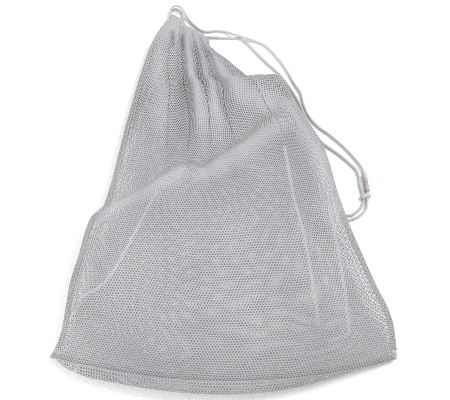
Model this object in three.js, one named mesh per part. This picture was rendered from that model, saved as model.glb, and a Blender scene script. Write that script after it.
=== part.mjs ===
// Net drawstring wash bag, lying full on its back with the gathered neck away from the front.
// Millimetres. +Z is up, the neck points to +Y, and the back panel rests flat at z = 0.
import * as THREE from "three";

// Cloth, seams and gaps
const CLOTH_WALL = 1.2;
const SEAM_GAP = 0.4;
const SEAM_STRIP_INSET = 2;
const SEAM_STRIP_WIDTH = 4.6;
const SEAM_STRIP_THICKNESS = 1.6;
const THIN_WALL_SHARE = 0.45;

// Centre of the bag's box, taken off every piece so that the bag stands on the middle of its box
const BOX_CENTRE = { x: -2.5, y: 1.7 };

// Front panel: how round it is across, and how the back panel turns up to the seams
const ACROSS_POWER = 2.4;
const ACROSS_ROOT = 0.55;
const BACK_TURN_UP = 42;
const BOTTOM_TURN = 0.11;
const BOTTOM_TURN_FROM = (40 * Math.PI) / 180;
const BOTTOM_TURN_FADES = 0.4;

// The full part ends at a slanting ridge, and the cloth drops behind it to the neck
const RIDGE_DROP_WIDTH = { left: 24, right: 50 };
const RIDGE_LIP_HEIGHT = 5;
const RIDGE_LIP_WIDTH = 9;
const RIDGE_LIP_ENDS = { from: 30, to: 80 };

// Gathered casing round the mouth
const CASING_DEPTH = 9.4;
const CASING_THICKNESS = 7;
const CASING_WALL = 1.1;
const CASING_GAP = 0.1;
const CASING_BACK_HEIGHT = 4.3;
const CASING_FRONT_HEIGHT = 17;
const CASING_FRONT_ARCH = 4;
const CASING_ARCH_POWER = 0.6;
const CASING_START_INSET = 9;
const CASING_END_INSET = 13;
const CASING_CORD_OUT = 3;
const CASING_RUFFLES = 9;
const CASING_RUFFLE_DEPTH = 0.7;

// Drawcord
const CORD_DIAMETER = 4;
const CORD_SIDES = 8;
const STRAND_GAP = 0.5;
const STRAND_LEAD = 1.5;
const SLEEVE_DIAMETER = 6.2;
const SLEEVE_BORE = 4.9;
const KNOT_RING = 3.7;
const KNOT_WIND = 1.85;
const KNOT_CORD_RADIUS = 1.5;

// The side seams, row of cloth by row: cloth 0 is the bottom seam and cloth 1 the mouth
const SIDE_SEAMS = [
  { cloth: 0.0, leftX: -214, leftY: -214, leftZ: 6, rightX: 209, rightY: -216, rightZ: 6 },
  { cloth: 0.012, leftX: -209, leftY: -206, leftZ: 8, rightX: 209, rightY: -210, rightZ: 8 },
  { cloth: 0.03, leftX: -204, leftY: -198, leftZ: 11, rightX: 208, rightY: -200, rightZ: 11 },
  { cloth: 0.065, leftX: -199, leftY: -184, leftZ: 17, rightX: 206, rightY: -181, rightZ: 17 },
  { cloth: 0.11, leftX: -195, leftY: -160, leftZ: 24, rightX: 200, rightY: -161, rightZ: 25 },
  { cloth: 0.17, leftX: -190, leftY: -125, leftZ: 30, rightX: 186, rightY: -131, rightZ: 30 },
  { cloth: 0.24, leftX: -181, leftY: -91, leftZ: 34, rightX: 170, rightY: -90, rightZ: 33 },
  { cloth: 0.31, leftX: -173, leftY: -54, leftZ: 35, rightX: 153, rightY: -42, rightZ: 34 },
  { cloth: 0.345, leftX: -167, leftY: -39, leftZ: 35, rightX: 147, rightY: -19, rightZ: 33 },
  { cloth: 0.37, leftX: -157, leftY: -30, leftZ: 32, rightX: 143, rightY: -4, rightZ: 32 },
  { cloth: 0.42, leftX: -148, leftY: 2, leftZ: 26, rightX: 137, rightY: 26, rightZ: 31 },
  { cloth: 0.5, leftX: -138, leftY: 58, leftZ: 22, rightX: 127, rightY: 66, rightZ: 28 },
  { cloth: 0.57, leftX: -131, leftY: 98, leftZ: 20, rightX: 109, rightY: 101, rightZ: 25 },
  { cloth: 0.64, leftX: -124.4, leftY: 130, leftZ: 18, rightX: 91, rightY: 140, rightZ: 21 },
  { cloth: 0.7, leftX: -120.5, leftY: 150, leftZ: 17, rightX: 77, rightY: 171, rightZ: 18 },
  { cloth: 0.725, leftX: -119, leftY: 157, leftZ: 17, rightX: 67, rightY: 179, rightZ: 17 },
  { cloth: 0.75, leftX: -117.7, leftY: 163, leftZ: 16, rightX: 53, rightY: 178, rightZ: 16 },
  { cloth: 0.78, leftX: -115.8, leftY: 172, leftZ: 16, rightX: 39, rightY: 173, rightZ: 15 },
  { cloth: 0.84, leftX: -110.2, leftY: 194, leftZ: 16, rightX: 20, rightY: 188, rightZ: 14 },
  { cloth: 0.9, leftX: -104.2, leftY: 219, leftZ: 15, rightX: 1, rightY: 206, rightZ: 14 },
  { cloth: 0.95, leftX: -95, leftY: 243, leftZ: 14, rightX: -13, rightY: 218, rightZ: 13 },
  { cloth: 1.0, leftX: -83.5, leftY: 266, leftZ: 13, rightX: -21, rightY: 227, rightZ: 13 },
];

// The rows between the seams: how far the middle bows to the front (negative), and how far the front
// panel rises over the seams on the full side of the ridge and on the neck side
const ROW_FORMS = [
  { cloth: 0.0, bow: -39, full: 62, neck: 46 },
  { cloth: 0.065, bow: -33, full: 62, neck: 46 },
  { cloth: 0.11, bow: -28, full: 62, neck: 46 },
  { cloth: 0.17, bow: -22, full: 63, neck: 46 },
  { cloth: 0.24, bow: -16, full: 65, neck: 46 },
  { cloth: 0.31, bow: -12, full: 66, neck: 45 },
  { cloth: 0.37, bow: -9, full: 66, neck: 41 },
  { cloth: 0.42, bow: -8, full: 64, neck: 37 },
  { cloth: 0.5, bow: -8, full: 60, neck: 32 },
  { cloth: 0.57, bow: -9, full: 54, neck: 29 },
  { cloth: 0.64, bow: -11, full: 45, neck: 27 },
  { cloth: 0.725, bow: -14, full: 34, neck: 26 },
  { cloth: 0.78, bow: -10, full: 30, neck: 23 },
  { cloth: 0.84, bow: -4, full: 24, neck: 20 },
  { cloth: 0.9, bow: 0, full: 18, neck: 16 },
  { cloth: 0.95, bow: 0, full: 13, neck: 12 },
  { cloth: 1.0, bow: 0, full: 10.4, neck: 10.4 },
];

// Along the bottom seam, from the left corner to the right: how high the seam lies over the corners,
// and how far the back panel swings out below it
const BOTTOM_EDGE = [
  { across: 0, seamRise: 0, swing: 0 },
  { across: 0.04, seamRise: 8, swing: 64 },
  { across: 0.1, seamRise: 16, swing: 74 },
  { across: 0.2, seamRise: 26, swing: 62 },
  { across: 0.35, seamRise: 32, swing: 52 },
  { across: 0.5, seamRise: 34, swing: 50 },
  { across: 0.62, seamRise: 32, swing: 48 },
  { across: 0.74, seamRise: 24, swing: 36 },
  { across: 0.86, seamRise: 13, swing: 18 },
  { across: 0.95, seamRise: 5, swing: 6 },
  { across: 1, seamRise: 0, swing: 0 },
];
const FULL_WITHIN = 0.14;

// Plan line of the slanting ridge, from the left seam to the right seam
const RIDGE_LINE = [
  { x: -215, y: -46 },
  { x: -166, y: -40 },
  { x: -129, y: -37 },
  { x: -92, y: -22 },
  { x: -61, y: 3 },
  { x: -43, y: 8 },
  { x: -27, y: 2 },
  { x: -12, y: 12 },
  { x: 31, y: 46 },
  { x: 50, y: 66 },
  { x: 77, y: 88 },
  { x: 92, y: 111 },
  { x: 130, y: 170 },
];

// Neck pleats: share of the row's width at the mouth and at the foot, half width there, height
// (a valley is negative) and the row of cloth where the pleat has run out
const PLEATS = [
  { atMouth: 0.12, atFoot: 0.2, halfWidth: 0.06, height: 3.5, foot: 0.48 },
  { atMouth: 0.43, atFoot: 0.345, halfWidth: 0.046, height: -8.5, foot: 0.45 },
  { atMouth: 0.54, atFoot: 0.41, halfWidth: 0.046, height: 8, foot: 0.46 },
  { atMouth: 0.63, atFoot: 0.46, halfWidth: 0.034, height: -3, foot: 0.58 },
  { atMouth: 0.72, atFoot: 0.51, halfWidth: 0.042, height: 6, foot: 0.48 },
  { atMouth: 0.79, atFoot: 0.57, halfWidth: 0.046, height: -8, foot: 0.54 },
  { atMouth: 0.87, atFoot: 0.66, halfWidth: 0.055, height: 5, foot: 0.58 },
  { atMouth: 0.95, atFoot: 0.84, halfWidth: 0.04, height: -3.5, foot: 0.64 },
];
const PLEAT_RISE = 0.16;
const PLEAT_SWINGS_FROM = 0.62;
const PLEAT_NARROWS_FROM = 0.74;
const PLEAT_SHARE_AT_MOUTH = 0.25;

// Broad swells and hollows of the full part
const SWELLS = [
  { x: -112, y: -118, radius: 58, height: 6 },
  { x: -20, y: -150, radius: 46, height: -6 },
  { x: 58, y: -62, radius: 55, height: 7 },
  { x: 138, y: -165, radius: 42, height: 6 },
  { x: -60, y: -45, radius: 40, height: 4 },
  { x: 118, y: 20, radius: 34, height: 4 },
];

// Long creases of the full part, as straight runs
const CREASES = [
  { fromX: 74, fromY: 34, toX: 83, toY: -40, height: 4 },
  { fromX: 83, fromY: -40, toX: 95, toY: -92, height: 5 },
  { fromX: 95, fromY: -92, toX: 110, toY: -197, height: 4 },
  { fromX: 128, fromY: -28, toX: 138, toY: -114, height: 4 },
  { fromX: 138, fromY: -114, toX: 146, toY: -201, height: 4 },
  { fromX: -84, fromY: -38, toX: -104, toY: -79, height: 3 },
  { fromX: -104, fromY: -79, toX: -130, toY: -129, height: 4 },
  { fromX: -130, fromY: -129, toX: -148, toY: -146, height: 4 },
  { fromX: -148, fromY: -146, toX: -174, toY: -154, height: 3 },
];
const CREASE_HALF_WIDTH = 8;

// Cord routes on the surface: each strand from the casing's left end to the knot, and the two ends
const OUTER_ROUTE = [
  { x: -76.8, y: 272.6, z: 16.2 },
  { x: -77.2, y: 278, z: 16.2 },
  { x: -75.7, y: 284.6, z: 15.8 },
  { x: -72.6, y: 290.2, z: 14.8 },
  { x: -67.2, y: 293.4, z: 12.8 },
  { x: -61.7, y: 292.6, z: 10 },
  { x: -57.4, y: 287.5, z: 7 },
  { x: -53.3, y: 281.2, z: 4.4 },
  { x: -46.9, y: 272.4, z: 2.6 },
  { x: -39.3, y: 264.6, z: 2.2 },
  { x: -32.1, y: 259.2, z: 2.2 },
  { x: -25, y: 257.6, z: 2.2 },
  { x: -13, y: 259.2, z: 2.2 },
  { x: 1.9, y: 256.6, z: 3 },
  { x: 11.9, y: 251, z: 5.6 },
  { x: 20.8, y: 247.4, z: 6.8 },
  { x: 38.8, y: 242.6, z: 3 },
  { x: 55.4, y: 234.7, z: 2.2 },
  { x: 74.3, y: 211.5, z: 2.2 },
  { x: 85.6, y: 192.3, z: 2.2 },
  { x: 95, y: 173, z: 2.2 },
  { x: 102.6, y: 159, z: 2.2 },
  { x: 106.4, y: 140.4, z: 2.2 },
  { x: 112.6, y: 123.5, z: 2.2 },
  { x: 124.4, y: 107.5, z: 2.2 },
  { x: 139.9, y: 94.6, z: 2.2 },
  { x: 159.1, y: 75, z: 2.2 },
  { x: 172.8, y: 57.2, z: 2.4 },
  { x: 179.6, y: 46, z: 3.2 },
  { x: 182.8, y: 36.1, z: 3.3 },
  { x: 184.3, y: 23, z: 3.3 },
  { x: 185.4, y: 11.2, z: 3.3 },
  { x: 185.2, y: 9, z: 3.3 },
];
const INNER_ROUTE = [
  { x: -76.8, y: 272.8, z: 4.3 },
  { x: -77.4, y: 280, z: 4.3 },
  { x: -76.2, y: 288.4, z: 4.2 },
  { x: -72, y: 293.6, z: 3.6 },
  { x: -66.2, y: 294, z: 2.8 },
  { x: -61.4, y: 289, z: 2.2 },
  { x: -58.8, y: 280, z: 2.2 },
  { x: -57, y: 269.4, z: 2.2 },
  { x: -50.8, y: 261.8, z: 2.2 },
  { x: -41, y: 254, z: 2.2 },
  { x: -30.8, y: 248.8, z: 2.2 },
  { x: -20, y: 248.4, z: 2.2 },
  { x: -7.9, y: 247.8, z: 2.2 },
  { x: 6.9, y: 247, z: 2.2 },
  { x: 20.8, y: 246.2, z: 2.2 },
  { x: 29, y: 240, z: 2.2 },
  { x: 40, y: 227, z: 2.2 },
  { x: 55.6, y: 208.6, z: 2.2 },
  { x: 73.6, y: 189.6, z: 2.2 },
  { x: 88, y: 167.6, z: 2.2 },
  { x: 99.4, y: 145.4, z: 2.2 },
  { x: 108, y: 122, z: 2.2 },
  { x: 119, y: 99, z: 2.2 },
  { x: 129, y: 83.6, z: 2.2 },
  { x: 149.4, y: 66.6, z: 2.2 },
  { x: 166, y: 50.2, z: 2.2 },
  { x: 172.6, y: 42, z: 2.2 },
  { x: 175.4, y: 32, z: 2.2 },
  { x: 176.4, y: 20.6, z: 2.4 },
  { x: 178.7, y: 9.5, z: 3.2 },
];
const LEFT_TAIL_ROUTE = [
  { x: 179.7, y: -3.9, z: 2.6 },
  { x: 177, y: -10.6, z: 2.2 },
  { x: 170, y: -18, z: 2.2 },
  { x: 163.4, y: -22.4, z: 2.2 },
  { x: 156.6, y: -23, z: 2.2 },
];
const RIGHT_TAIL_ROUTE = [
  { x: 184.6, y: -2.9, z: 2.6 },
  { x: 183, y: -12.6, z: 2.2 },
  { x: 178.4, y: -19.4, z: 2.2 },
  { x: 170.6, y: -25.6, z: 2.2 },
  { x: 163.2, y: -28.6, z: 2.2 },
  { x: 156.6, y: -30, z: 2.2 },
];
const SIDE_SEAM_SPAN = { from: 0.09, to: 0.97 };
const BOTTOM_SEAM_SPAN = { from: 0.05, to: 0.86 };
const SLEEVE_ENDS = { fromStep: 29, toStep: 31 };
const KNOT_CENTRE = { x: 182, y: 3.1, z: 3.6 };

// How finely each form is faceted
const ROWS = { bottom: 7, middle: 6, ridge: 18, neck: 13 };
const FRONT_COLUMNS = 30;
const BACK_COLUMNS = 15;
const CASING_SIDES = 8;
const CASING_STEPS = 20;
const KNOT_STEPS = 24;

// Materials
const NET_WHITE = new THREE.MeshStandardMaterial({ color: 0xe6e6e4, roughness: 0.8 });
const SEAM_WHITE = new THREE.MeshStandardMaterial({ color: 0xf0f0ee, roughness: 0.75 });
const CORD_WHITE = new THREE.MeshStandardMaterial({ color: 0xeef2f3, roughness: 0.7 });
const SLEEVE_BLUSH = new THREE.MeshStandardMaterial({ color: 0xc99a8c, roughness: 0.45 });

const mix = (a, b, t) => a + (b - a) * t;
const clampUnit = (t) => Math.min(1, Math.max(0, t));
const smoothStep = (t) => clampUnit(t) ** 2 * (3 - 2 * clampUnit(t));
const bell = (t) => Math.exp(-t * t);

// A smooth curve through a table's column that never overshoots its rows
function tableCurve(rows, keyName, valueName) {
  const keys = rows.map((row) => row[keyName]);
  const values = rows.map((row) => row[valueName]);
  const last = keys.length - 1;
  const slopes = [];
  for (let i = 0; i < last; i += 1) {
    slopes.push((values[i + 1] - values[i]) / (keys[i + 1] - keys[i]));
  }
  const tangents = [slopes[0]];
  for (let i = 1; i < last; i += 1) {
    const turns = slopes[i - 1] * slopes[i] <= 0;
    tangents.push(turns ? 0 : (2 * slopes[i - 1] * slopes[i]) / (slopes[i - 1] + slopes[i]));
  }
  tangents.push(slopes[last - 1]);
  return (key) => {
    let i = 0;
    while (i < last - 1 && key > keys[i + 1]) {
      i += 1;
    }
    const span = keys[i + 1] - keys[i];
    const t = clampUnit((key - keys[i]) / span);
    const rise = t * t * (3 - 2 * t);
    const leave = t * (1 - t) * (1 - t) * span * tangents[i];
    const arrive = t * t * (t - 1) * span * tangents[i + 1];
    return mix(values[i], values[i + 1], rise) + leave + arrive;
  };
}

const station = {};
for (const table of [SIDE_SEAMS, ROW_FORMS]) {
  for (const column of Object.keys(table[0]).filter((name) => name !== "cloth")) {
    station[column] = tableCurve(table, "cloth", column);
  }
}
const ridgeY = tableCurve(RIDGE_LINE, "x", "y");
const seamRise = tableCurve(BOTTOM_EDGE, "across", "seamRise");
const backSwing = tableCurve(BOTTOM_EDGE, "across", "swing");

// Height share across a row: nothing at the seams, one in the middle
const acrossShare = (across) => (1 - Math.abs(2 * across - 1) ** ACROSS_POWER) ** ACROSS_ROOT;

// Plan point and seam height at a share across the row of cloth
function rowPoint(across, cloth) {
  const bowShare = 4 * across * (1 - across);
  return {
    x: mix(station.leftX(cloth), station.rightX(cloth), across),
    y: mix(station.leftY(cloth), station.rightY(cloth), across) + station.bow(cloth) * bowShare,
    seamZ: mix(station.leftZ(cloth), station.rightZ(cloth), across),
  };
}

// Distance behind the ridge line, negative on the full side
function behindRidge(x, y) {
  const slope = (ridgeY(x + 6) - ridgeY(x - 6)) / 12;
  return (y - ridgeY(x)) / Math.hypot(1, slope);
}

function pleatHeight(across, cloth) {
  let height = 0;
  for (const pleat of PLEATS) {
    const up = smoothStep((cloth - pleat.foot) / PLEAT_RISE);
    const narrowing = clampUnit((cloth - PLEAT_NARROWS_FROM) / (1 - PLEAT_NARROWS_FROM));
    const swing = smoothStep((cloth - PLEAT_SWINGS_FROM) / (1 - PLEAT_SWINGS_FROM));
    const centre = mix(pleat.atFoot, pleat.atMouth, swing);
    const tall = pleat.height * up * mix(1, PLEAT_SHARE_AT_MOUTH, narrowing);
    height += tall * bell((across - centre) / pleat.halfWidth);
  }
  return height;
}

function swellHeight(x, y) {
  let height = 0;
  for (const swell of SWELLS) {
    height += swell.height * bell(Math.hypot(x - swell.x, y - swell.y) / swell.radius);
  }
  return height;
}

function creaseHeight(x, y) {
  let height = 0;
  for (const crease of CREASES) {
    const runX = crease.toX - crease.fromX;
    const runY = crease.toY - crease.fromY;
    const along = (x - crease.fromX) * runX + (y - crease.fromY) * runY;
    const share = clampUnit(along / (runX ** 2 + runY ** 2));
    const off = Math.hypot(x - crease.fromX - share * runX, y - crease.fromY - share * runY);
    height = Math.max(height, crease.height * bell(off / CREASE_HALF_WIDTH));
  }
  return height;
}

function frontPoint(across, cloth) {
  const row = rowPoint(across, cloth);
  const behind = behindRidge(row.x, row.y);
  const lipSpan = RIDGE_LIP_ENDS.to - RIDGE_LIP_ENDS.from;
  const ridgeShare = 1 - smoothStep((row.x - RIDGE_LIP_ENDS.from) / lipSpan);
  const dropWidth = mix(RIDGE_DROP_WIDTH.right, RIDGE_DROP_WIDTH.left, ridgeShare);
  const dropped = smoothStep((behind + 5) / dropWidth);
  const lip = RIDGE_LIP_HEIGHT * ridgeShare * bell((behind + 2) / RIDGE_LIP_WIDTH);
  const share = acrossShare(across);
  const grown = Math.sqrt(1 - (1 - clampUnit(cloth / FULL_WITHIN)) ** 2);
  const rise = mix(station.full(cloth), station.neck(cloth), dropped);
  const swell = (swellHeight(row.x, row.y) + creaseHeight(row.x, row.y)) * (1 - dropped);
  const shaping = lip + pleatHeight(across, cloth) + swell;
  const whole = share * (rise + shaping * Math.sqrt(share));
  return new THREE.Vector3(row.x, row.y, row.seamZ + mix(seamRise(across), whole, grown));
}

// The back panel leaves the bottom seam, bulges to the front, turns under and lies flat
function backPoint(across, cloth) {
  const middle = (4 * across * (1 - across)) ** 0.3;
  const turnLength = BOTTOM_TURN * mix(0.35, 1, middle);
  const turn = clampUnit(cloth / turnLength);
  const angle = mix(BOTTOM_TURN_FROM, -Math.PI / 2, turn);
  const delayed = Math.max(0, cloth - turnLength) / (1 - turnLength);
  const row = rowPoint(across, mix(cloth, delayed, middle));
  const fading = 1 - clampUnit((cloth - turnLength) / BOTTOM_TURN_FADES);
  const inset = backSwing(across) * (Math.cos(BOTTOM_TURN_FROM) - Math.cos(angle)) * fading;
  const width = station.rightX(cloth) - station.leftX(cloth);
  const inward = clampUnit((Math.min(across, 1 - across) * width) / Math.min(BACK_TURN_UP, width * 0.3));
  const sideShare = 1 - Math.sqrt(1 - (1 - inward) ** 2);
  const bottomShare = (1 + Math.sin(angle)) / (1 + Math.sin(BOTTOM_TURN_FROM));
  const seamArch = seamRise(across) * bottomShare;
  const edge = row.seamZ * (1 - (1 - sideShare) * (1 - bottomShare));
  return new THREE.Vector3(row.x, row.y + inset, seamArch + edge);
}

// Rows of cloth used by both panels, closer where the form turns quickly
function clothRows() {
  const bands = [
    { from: 0, to: 0.1, count: ROWS.bottom },
    { from: 0.1, to: 0.3, count: ROWS.middle },
    { from: 0.3, to: 0.66, count: ROWS.ridge },
    { from: 0.66, to: 1, count: ROWS.neck },
  ];
  const rows = [];
  for (const band of bands) {
    for (let i = 0; i < band.count; i += 1) {
      const share = band.from === 0 ? (i / band.count) ** 1.4 : i / band.count;
      rows.push(mix(band.from, band.to, share));
    }
  }
  rows.push(1);
  return rows;
}

// Shares across a row, closer together towards the seams where the cloth turns down
function acrossShares(columns) {
  const shares = [];
  for (let i = 0; i <= columns; i += 1) {
    const even = i / columns;
    shares.push(mix(even, 0.5 - 0.5 * Math.cos(Math.PI * even), 0.55));
  }
  return shares;
}

// Mesh from corner triples, turned so that its faces point out
function closedMesh(name, corners, material) {
  let volume = 0;
  for (let i = 0; i < corners.length; i += 3) {
    volume += corners[i].dot(new THREE.Vector3().crossVectors(corners[i + 1], corners[i + 2]));
  }
  const numbers = [];
  for (let i = 0; i < corners.length; i += 3) {
    const triple = volume > 0 ? [0, 1, 2] : [0, 2, 1];
    for (const k of triple) {
      const corner = corners[i + k];
      numbers.push(corner.x - BOX_CENTRE.x, corner.y - BOX_CENTRE.y, corner.z);
    }
  }
  const geometry = new THREE.BufferGeometry();
  geometry.setAttribute("position", new THREE.Float32BufferAttribute(numbers, 3));
  geometry.computeVertexNormals();
  const mesh = new THREE.Mesh(geometry, material);
  mesh.name = name;
  return mesh;
}

function pushQuad(corners, a, b, c, d) {
  corners.push(a, b, c, a, c, d);
}

// Wall thickness, thinner where the two panels come together
function wallAt(across, cloth) {
  const apart = frontPoint(across, cloth).z - backPoint(across, cloth).z;
  return CLOTH_WALL * Math.min(1, Math.max(THIN_WALL_SHARE, apart / (4 * CLOTH_WALL)));
}

// A cloth panel: outer grid of points, inner grid one wall inside it, closed round the rim
function panelMesh(name, pointAt, shares, rows, side) {
  const outer = rows.map((cloth) => shares.map((across) => pointAt(across, cloth)));
  const lastRow = rows.length - 1;
  const lastColumn = shares.length - 1;
  const inner = outer.map((line, j) =>
    line.map((point, i) => {
      const along = new THREE.Vector3().subVectors(
        outer[Math.min(j + 1, lastRow)][i],
        outer[Math.max(j - 1, 0)][i],
      );
      const over = new THREE.Vector3().subVectors(
        line[Math.min(i + 1, lastColumn)],
        line[Math.max(i - 1, 0)],
      );
      const inward = new THREE.Vector3().crossVectors(over, along).normalize().multiplyScalar(-side);
      const onSideSeam = i === 0 || i === lastColumn;
      const onBottomSeam = j === 0;
      if (onSideSeam) {
        inward.set(-along.y, along.x, 0).multiplyScalar(i === 0 ? -1 : 1);
      }
      if (onBottomSeam) {
        inward.set(onSideSeam ? Math.sign(lastColumn / 2 - i) : 0, 1, 0);
      }
      const wall = onSideSeam || onBottomSeam ? CLOTH_WALL : wallAt(shares[i], rows[j]);
      return point.clone().addScaledVector(inward.normalize(), wall);
    }),
  );
  const lift = side * SEAM_GAP * 0.5;
  for (const grid of [outer, inner]) {
    for (let j = 0; j <= lastRow; j += 1) {
      for (let i = 0; i <= lastColumn; i += 1) {
        const onSeam = i === 0 || i === lastColumn || j === 0;
        grid[j][i].z += onSeam ? lift : 0;
      }
    }
  }
  const corners = [];
  for (let j = 0; j < lastRow; j += 1) {
    for (let i = 0; i < lastColumn; i += 1) {
      pushQuad(corners, outer[j][i], outer[j][i + 1], outer[j + 1][i + 1], outer[j + 1][i]);
      pushQuad(corners, inner[j][i], inner[j + 1][i], inner[j + 1][i + 1], inner[j][i + 1]);
    }
    pushQuad(corners, outer[j][0], outer[j + 1][0], inner[j + 1][0], inner[j][0]);
    const k = lastColumn;
    pushQuad(corners, outer[j + 1][k], outer[j][k], inner[j][k], inner[j + 1][k]);
  }
  for (let i = 0; i < lastColumn; i += 1) {
    pushQuad(corners, outer[0][i + 1], outer[0][i], inner[0][i], inner[0][i + 1]);
    const k = lastRow;
    pushQuad(corners, outer[k][i], outer[k][i + 1], inner[k][i + 1], inner[k][i]);
  }
  return closedMesh(name, corners, NET_WHITE);
}

// A solid through rings of points, flat at both ends unless it closes on itself
function ringSolid(name, rings, material, closesOnItself = false) {
  const corners = [];
  const sides = rings[0].length;
  const spans = closesOnItself ? rings.length : rings.length - 1;
  for (let j = 0; j < spans; j += 1) {
    const here = rings[j];
    const next = rings[(j + 1) % rings.length];
    for (let i = 0; i < sides; i += 1) {
      const k = (i + 1) % sides;
      pushQuad(corners, here[i], here[k], next[k], next[i]);
    }
  }
  if (!closesOnItself) {
    const first = rings[0];
    const last = rings[rings.length - 1];
    for (let i = 1; i < sides - 1; i += 1) {
      corners.push(first[0], first[i + 1], first[i]);
      corners.push(last[0], last[i], last[i + 1]);
    }
  }
  return closedMesh(name, corners, material);
}

// A tube with an open bore: outer rings, inner rings and a flat rim at each end
function boredSolid(name, outerRings, innerRings, material) {
  const corners = [];
  const sides = outerRings[0].length;
  const last = outerRings.length - 1;
  for (let i = 0; i < sides; i += 1) {
    const k = (i + 1) % sides;
    for (let j = 0; j < last; j += 1) {
      pushQuad(corners, outerRings[j][i], outerRings[j][k], outerRings[j + 1][k], outerRings[j + 1][i]);
      pushQuad(corners, innerRings[j][k], innerRings[j][i], innerRings[j + 1][i], innerRings[j + 1][k]);
    }
    pushQuad(corners, outerRings[0][k], outerRings[0][i], innerRings[0][i], innerRings[0][k]);
    pushQuad(corners, outerRings[last][i], outerRings[last][k], innerRings[last][k], innerRings[last][i]);
  }
  return closedMesh(name, corners, material);
}

// Rings of a round cord along a line of points, kept from twisting
function cordRings(points, radius, sides, closesOnItself = false) {
  const count = points.length;
  const tangents = points.map((point, i) => {
    const after = closesOnItself ? points[(i + 1) % count] : points[Math.min(i + 1, count - 1)];
    const before = closesOnItself ? points[(i + count - 1) % count] : points[Math.max(i - 1, 0)];
    return new THREE.Vector3().subVectors(after, before).normalize();
  });
  const up = new THREE.Vector3(0, 0, 1);
  return points.map((point, i) => {
    const sideways = new THREE.Vector3().crossVectors(tangents[i], up).normalize();
    const upright = new THREE.Vector3().crossVectors(sideways, tangents[i]);
    const ring = [];
    for (let k = 0; k < sides; k += 1) {
      const angle = (2 * Math.PI * (k + 0.5)) / sides;
      const corner = point.clone();
      corner.addScaledVector(sideways, radius * Math.cos(angle));
      corner.addScaledVector(upright, radius * Math.sin(angle));
      ring.push(corner);
    }
    return ring;
  });
}

const routePoints = (route) => route.map((spot) => new THREE.Vector3(spot.x, spot.y, spot.z));

function cordMesh(name, points) {
  return ringSolid(name, cordRings(points, CORD_DIAMETER / 2, CORD_SIDES), CORD_WHITE);
}

// The seam allowance: a flat strip that lies inside the bag along a seam line
function seamStripMesh(name, seamPoints, inwardSide) {
  const last = seamPoints.length - 1;
  const rings = seamPoints.map((point, i) => {
    const along = new THREE.Vector3().subVectors(
      seamPoints[Math.min(i + 1, last)],
      seamPoints[Math.max(i - 1, 0)],
    );
    const inward = new THREE.Vector3(-along.y, along.x, 0).normalize().multiplyScalar(inwardSide);
    const half = new THREE.Vector3(0, 0, SEAM_STRIP_THICKNESS / 2);
    const near = point.clone().addScaledVector(inward, SEAM_STRIP_INSET);
    const far = point.clone().addScaledVector(inward, SEAM_STRIP_INSET + SEAM_STRIP_WIDTH);
    return [
      near.clone().sub(half),
      far.clone().sub(half),
      far.clone().add(half),
      near.clone().add(half),
    ];
  });
  return ringSolid(name, rings, SEAM_WHITE);
}

function sideSeamPoints(across, rows) {
  const seamRows = rows.filter((cloth) => cloth > SIDE_SEAM_SPAN.from && cloth < SIDE_SEAM_SPAN.to);
  return seamRows.map((cloth) => frontPoint(across, cloth));
}

function bottomSeamPoints(shares) {
  const span = BOTTOM_SEAM_SPAN;
  const seamShares = shares.filter((across) => across > span.from && across < span.to);
  return seamShares.map((across) => frontPoint(across, 0));
}

// The casing's middle line: along the front of the mouth, round its right end and back behind it
const MOUTH_LEFT = new THREE.Vector3(SIDE_SEAMS.at(-1).leftX, SIDE_SEAMS.at(-1).leftY, 0);
const MOUTH_RIGHT = new THREE.Vector3(SIDE_SEAMS.at(-1).rightX, SIDE_SEAMS.at(-1).rightY, 0);
const MOUTH_WIDTH = MOUTH_LEFT.distanceTo(MOUTH_RIGHT);
const MOUTH_ALONG = new THREE.Vector3().subVectors(MOUTH_RIGHT, MOUTH_LEFT).normalize();
const MOUTH_OUT = new THREE.Vector3(-MOUTH_ALONG.y, MOUTH_ALONG.x, 0);
const CASING_START = MOUTH_LEFT.clone().addScaledVector(MOUTH_OUT, CASING_DEPTH / 2 + CASING_GAP);

function casingLine() {
  const turnRadius = (CASING_FRONT_HEIGHT - CASING_BACK_HEIGHT) / 2;
  const first = CASING_START_INSET;
  const run = MOUTH_WIDTH - CASING_END_INSET;
  const turnSteps = 6;
  const runSteps = (CASING_STEPS - turnSteps) / 2;
  const flat = [];
  for (let i = 0; i <= runSteps; i += 1) {
    const share = i / runSteps;
    const arch = CASING_FRONT_ARCH * Math.abs(Math.sin(Math.PI * share)) ** CASING_ARCH_POWER;
    flat.push({ along: mix(first, run, share), up: CASING_FRONT_HEIGHT + arch });
  }
  for (let i = 1; i < turnSteps; i += 1) {
    const angle = (Math.PI * i) / turnSteps;
    const middle = CASING_BACK_HEIGHT + turnRadius;
    flat.push({ along: run + turnRadius * Math.sin(angle), up: middle + turnRadius * Math.cos(angle) });
  }
  for (let i = 0; i <= runSteps; i += 1) {
    flat.push({ along: mix(run, first, i / runSteps), up: CASING_BACK_HEIGHT });
  }
  return flat.map((spot) => {
    const point = CASING_START.clone().addScaledVector(MOUTH_ALONG, spot.along);
    point.z = spot.up;
    return point;
  });
}

// A strand starts just off the end of the cord that leaves the casing, then follows its route
function strandPoints(cordEnd, route) {
  const start = cordEnd.clone().addScaledVector(MOUTH_ALONG, -STRAND_GAP);
  const lead = cordEnd.clone().addScaledVector(MOUTH_ALONG, -STRAND_GAP - STRAND_LEAD);
  return [start, lead, ...routePoints(route)];
}

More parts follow.
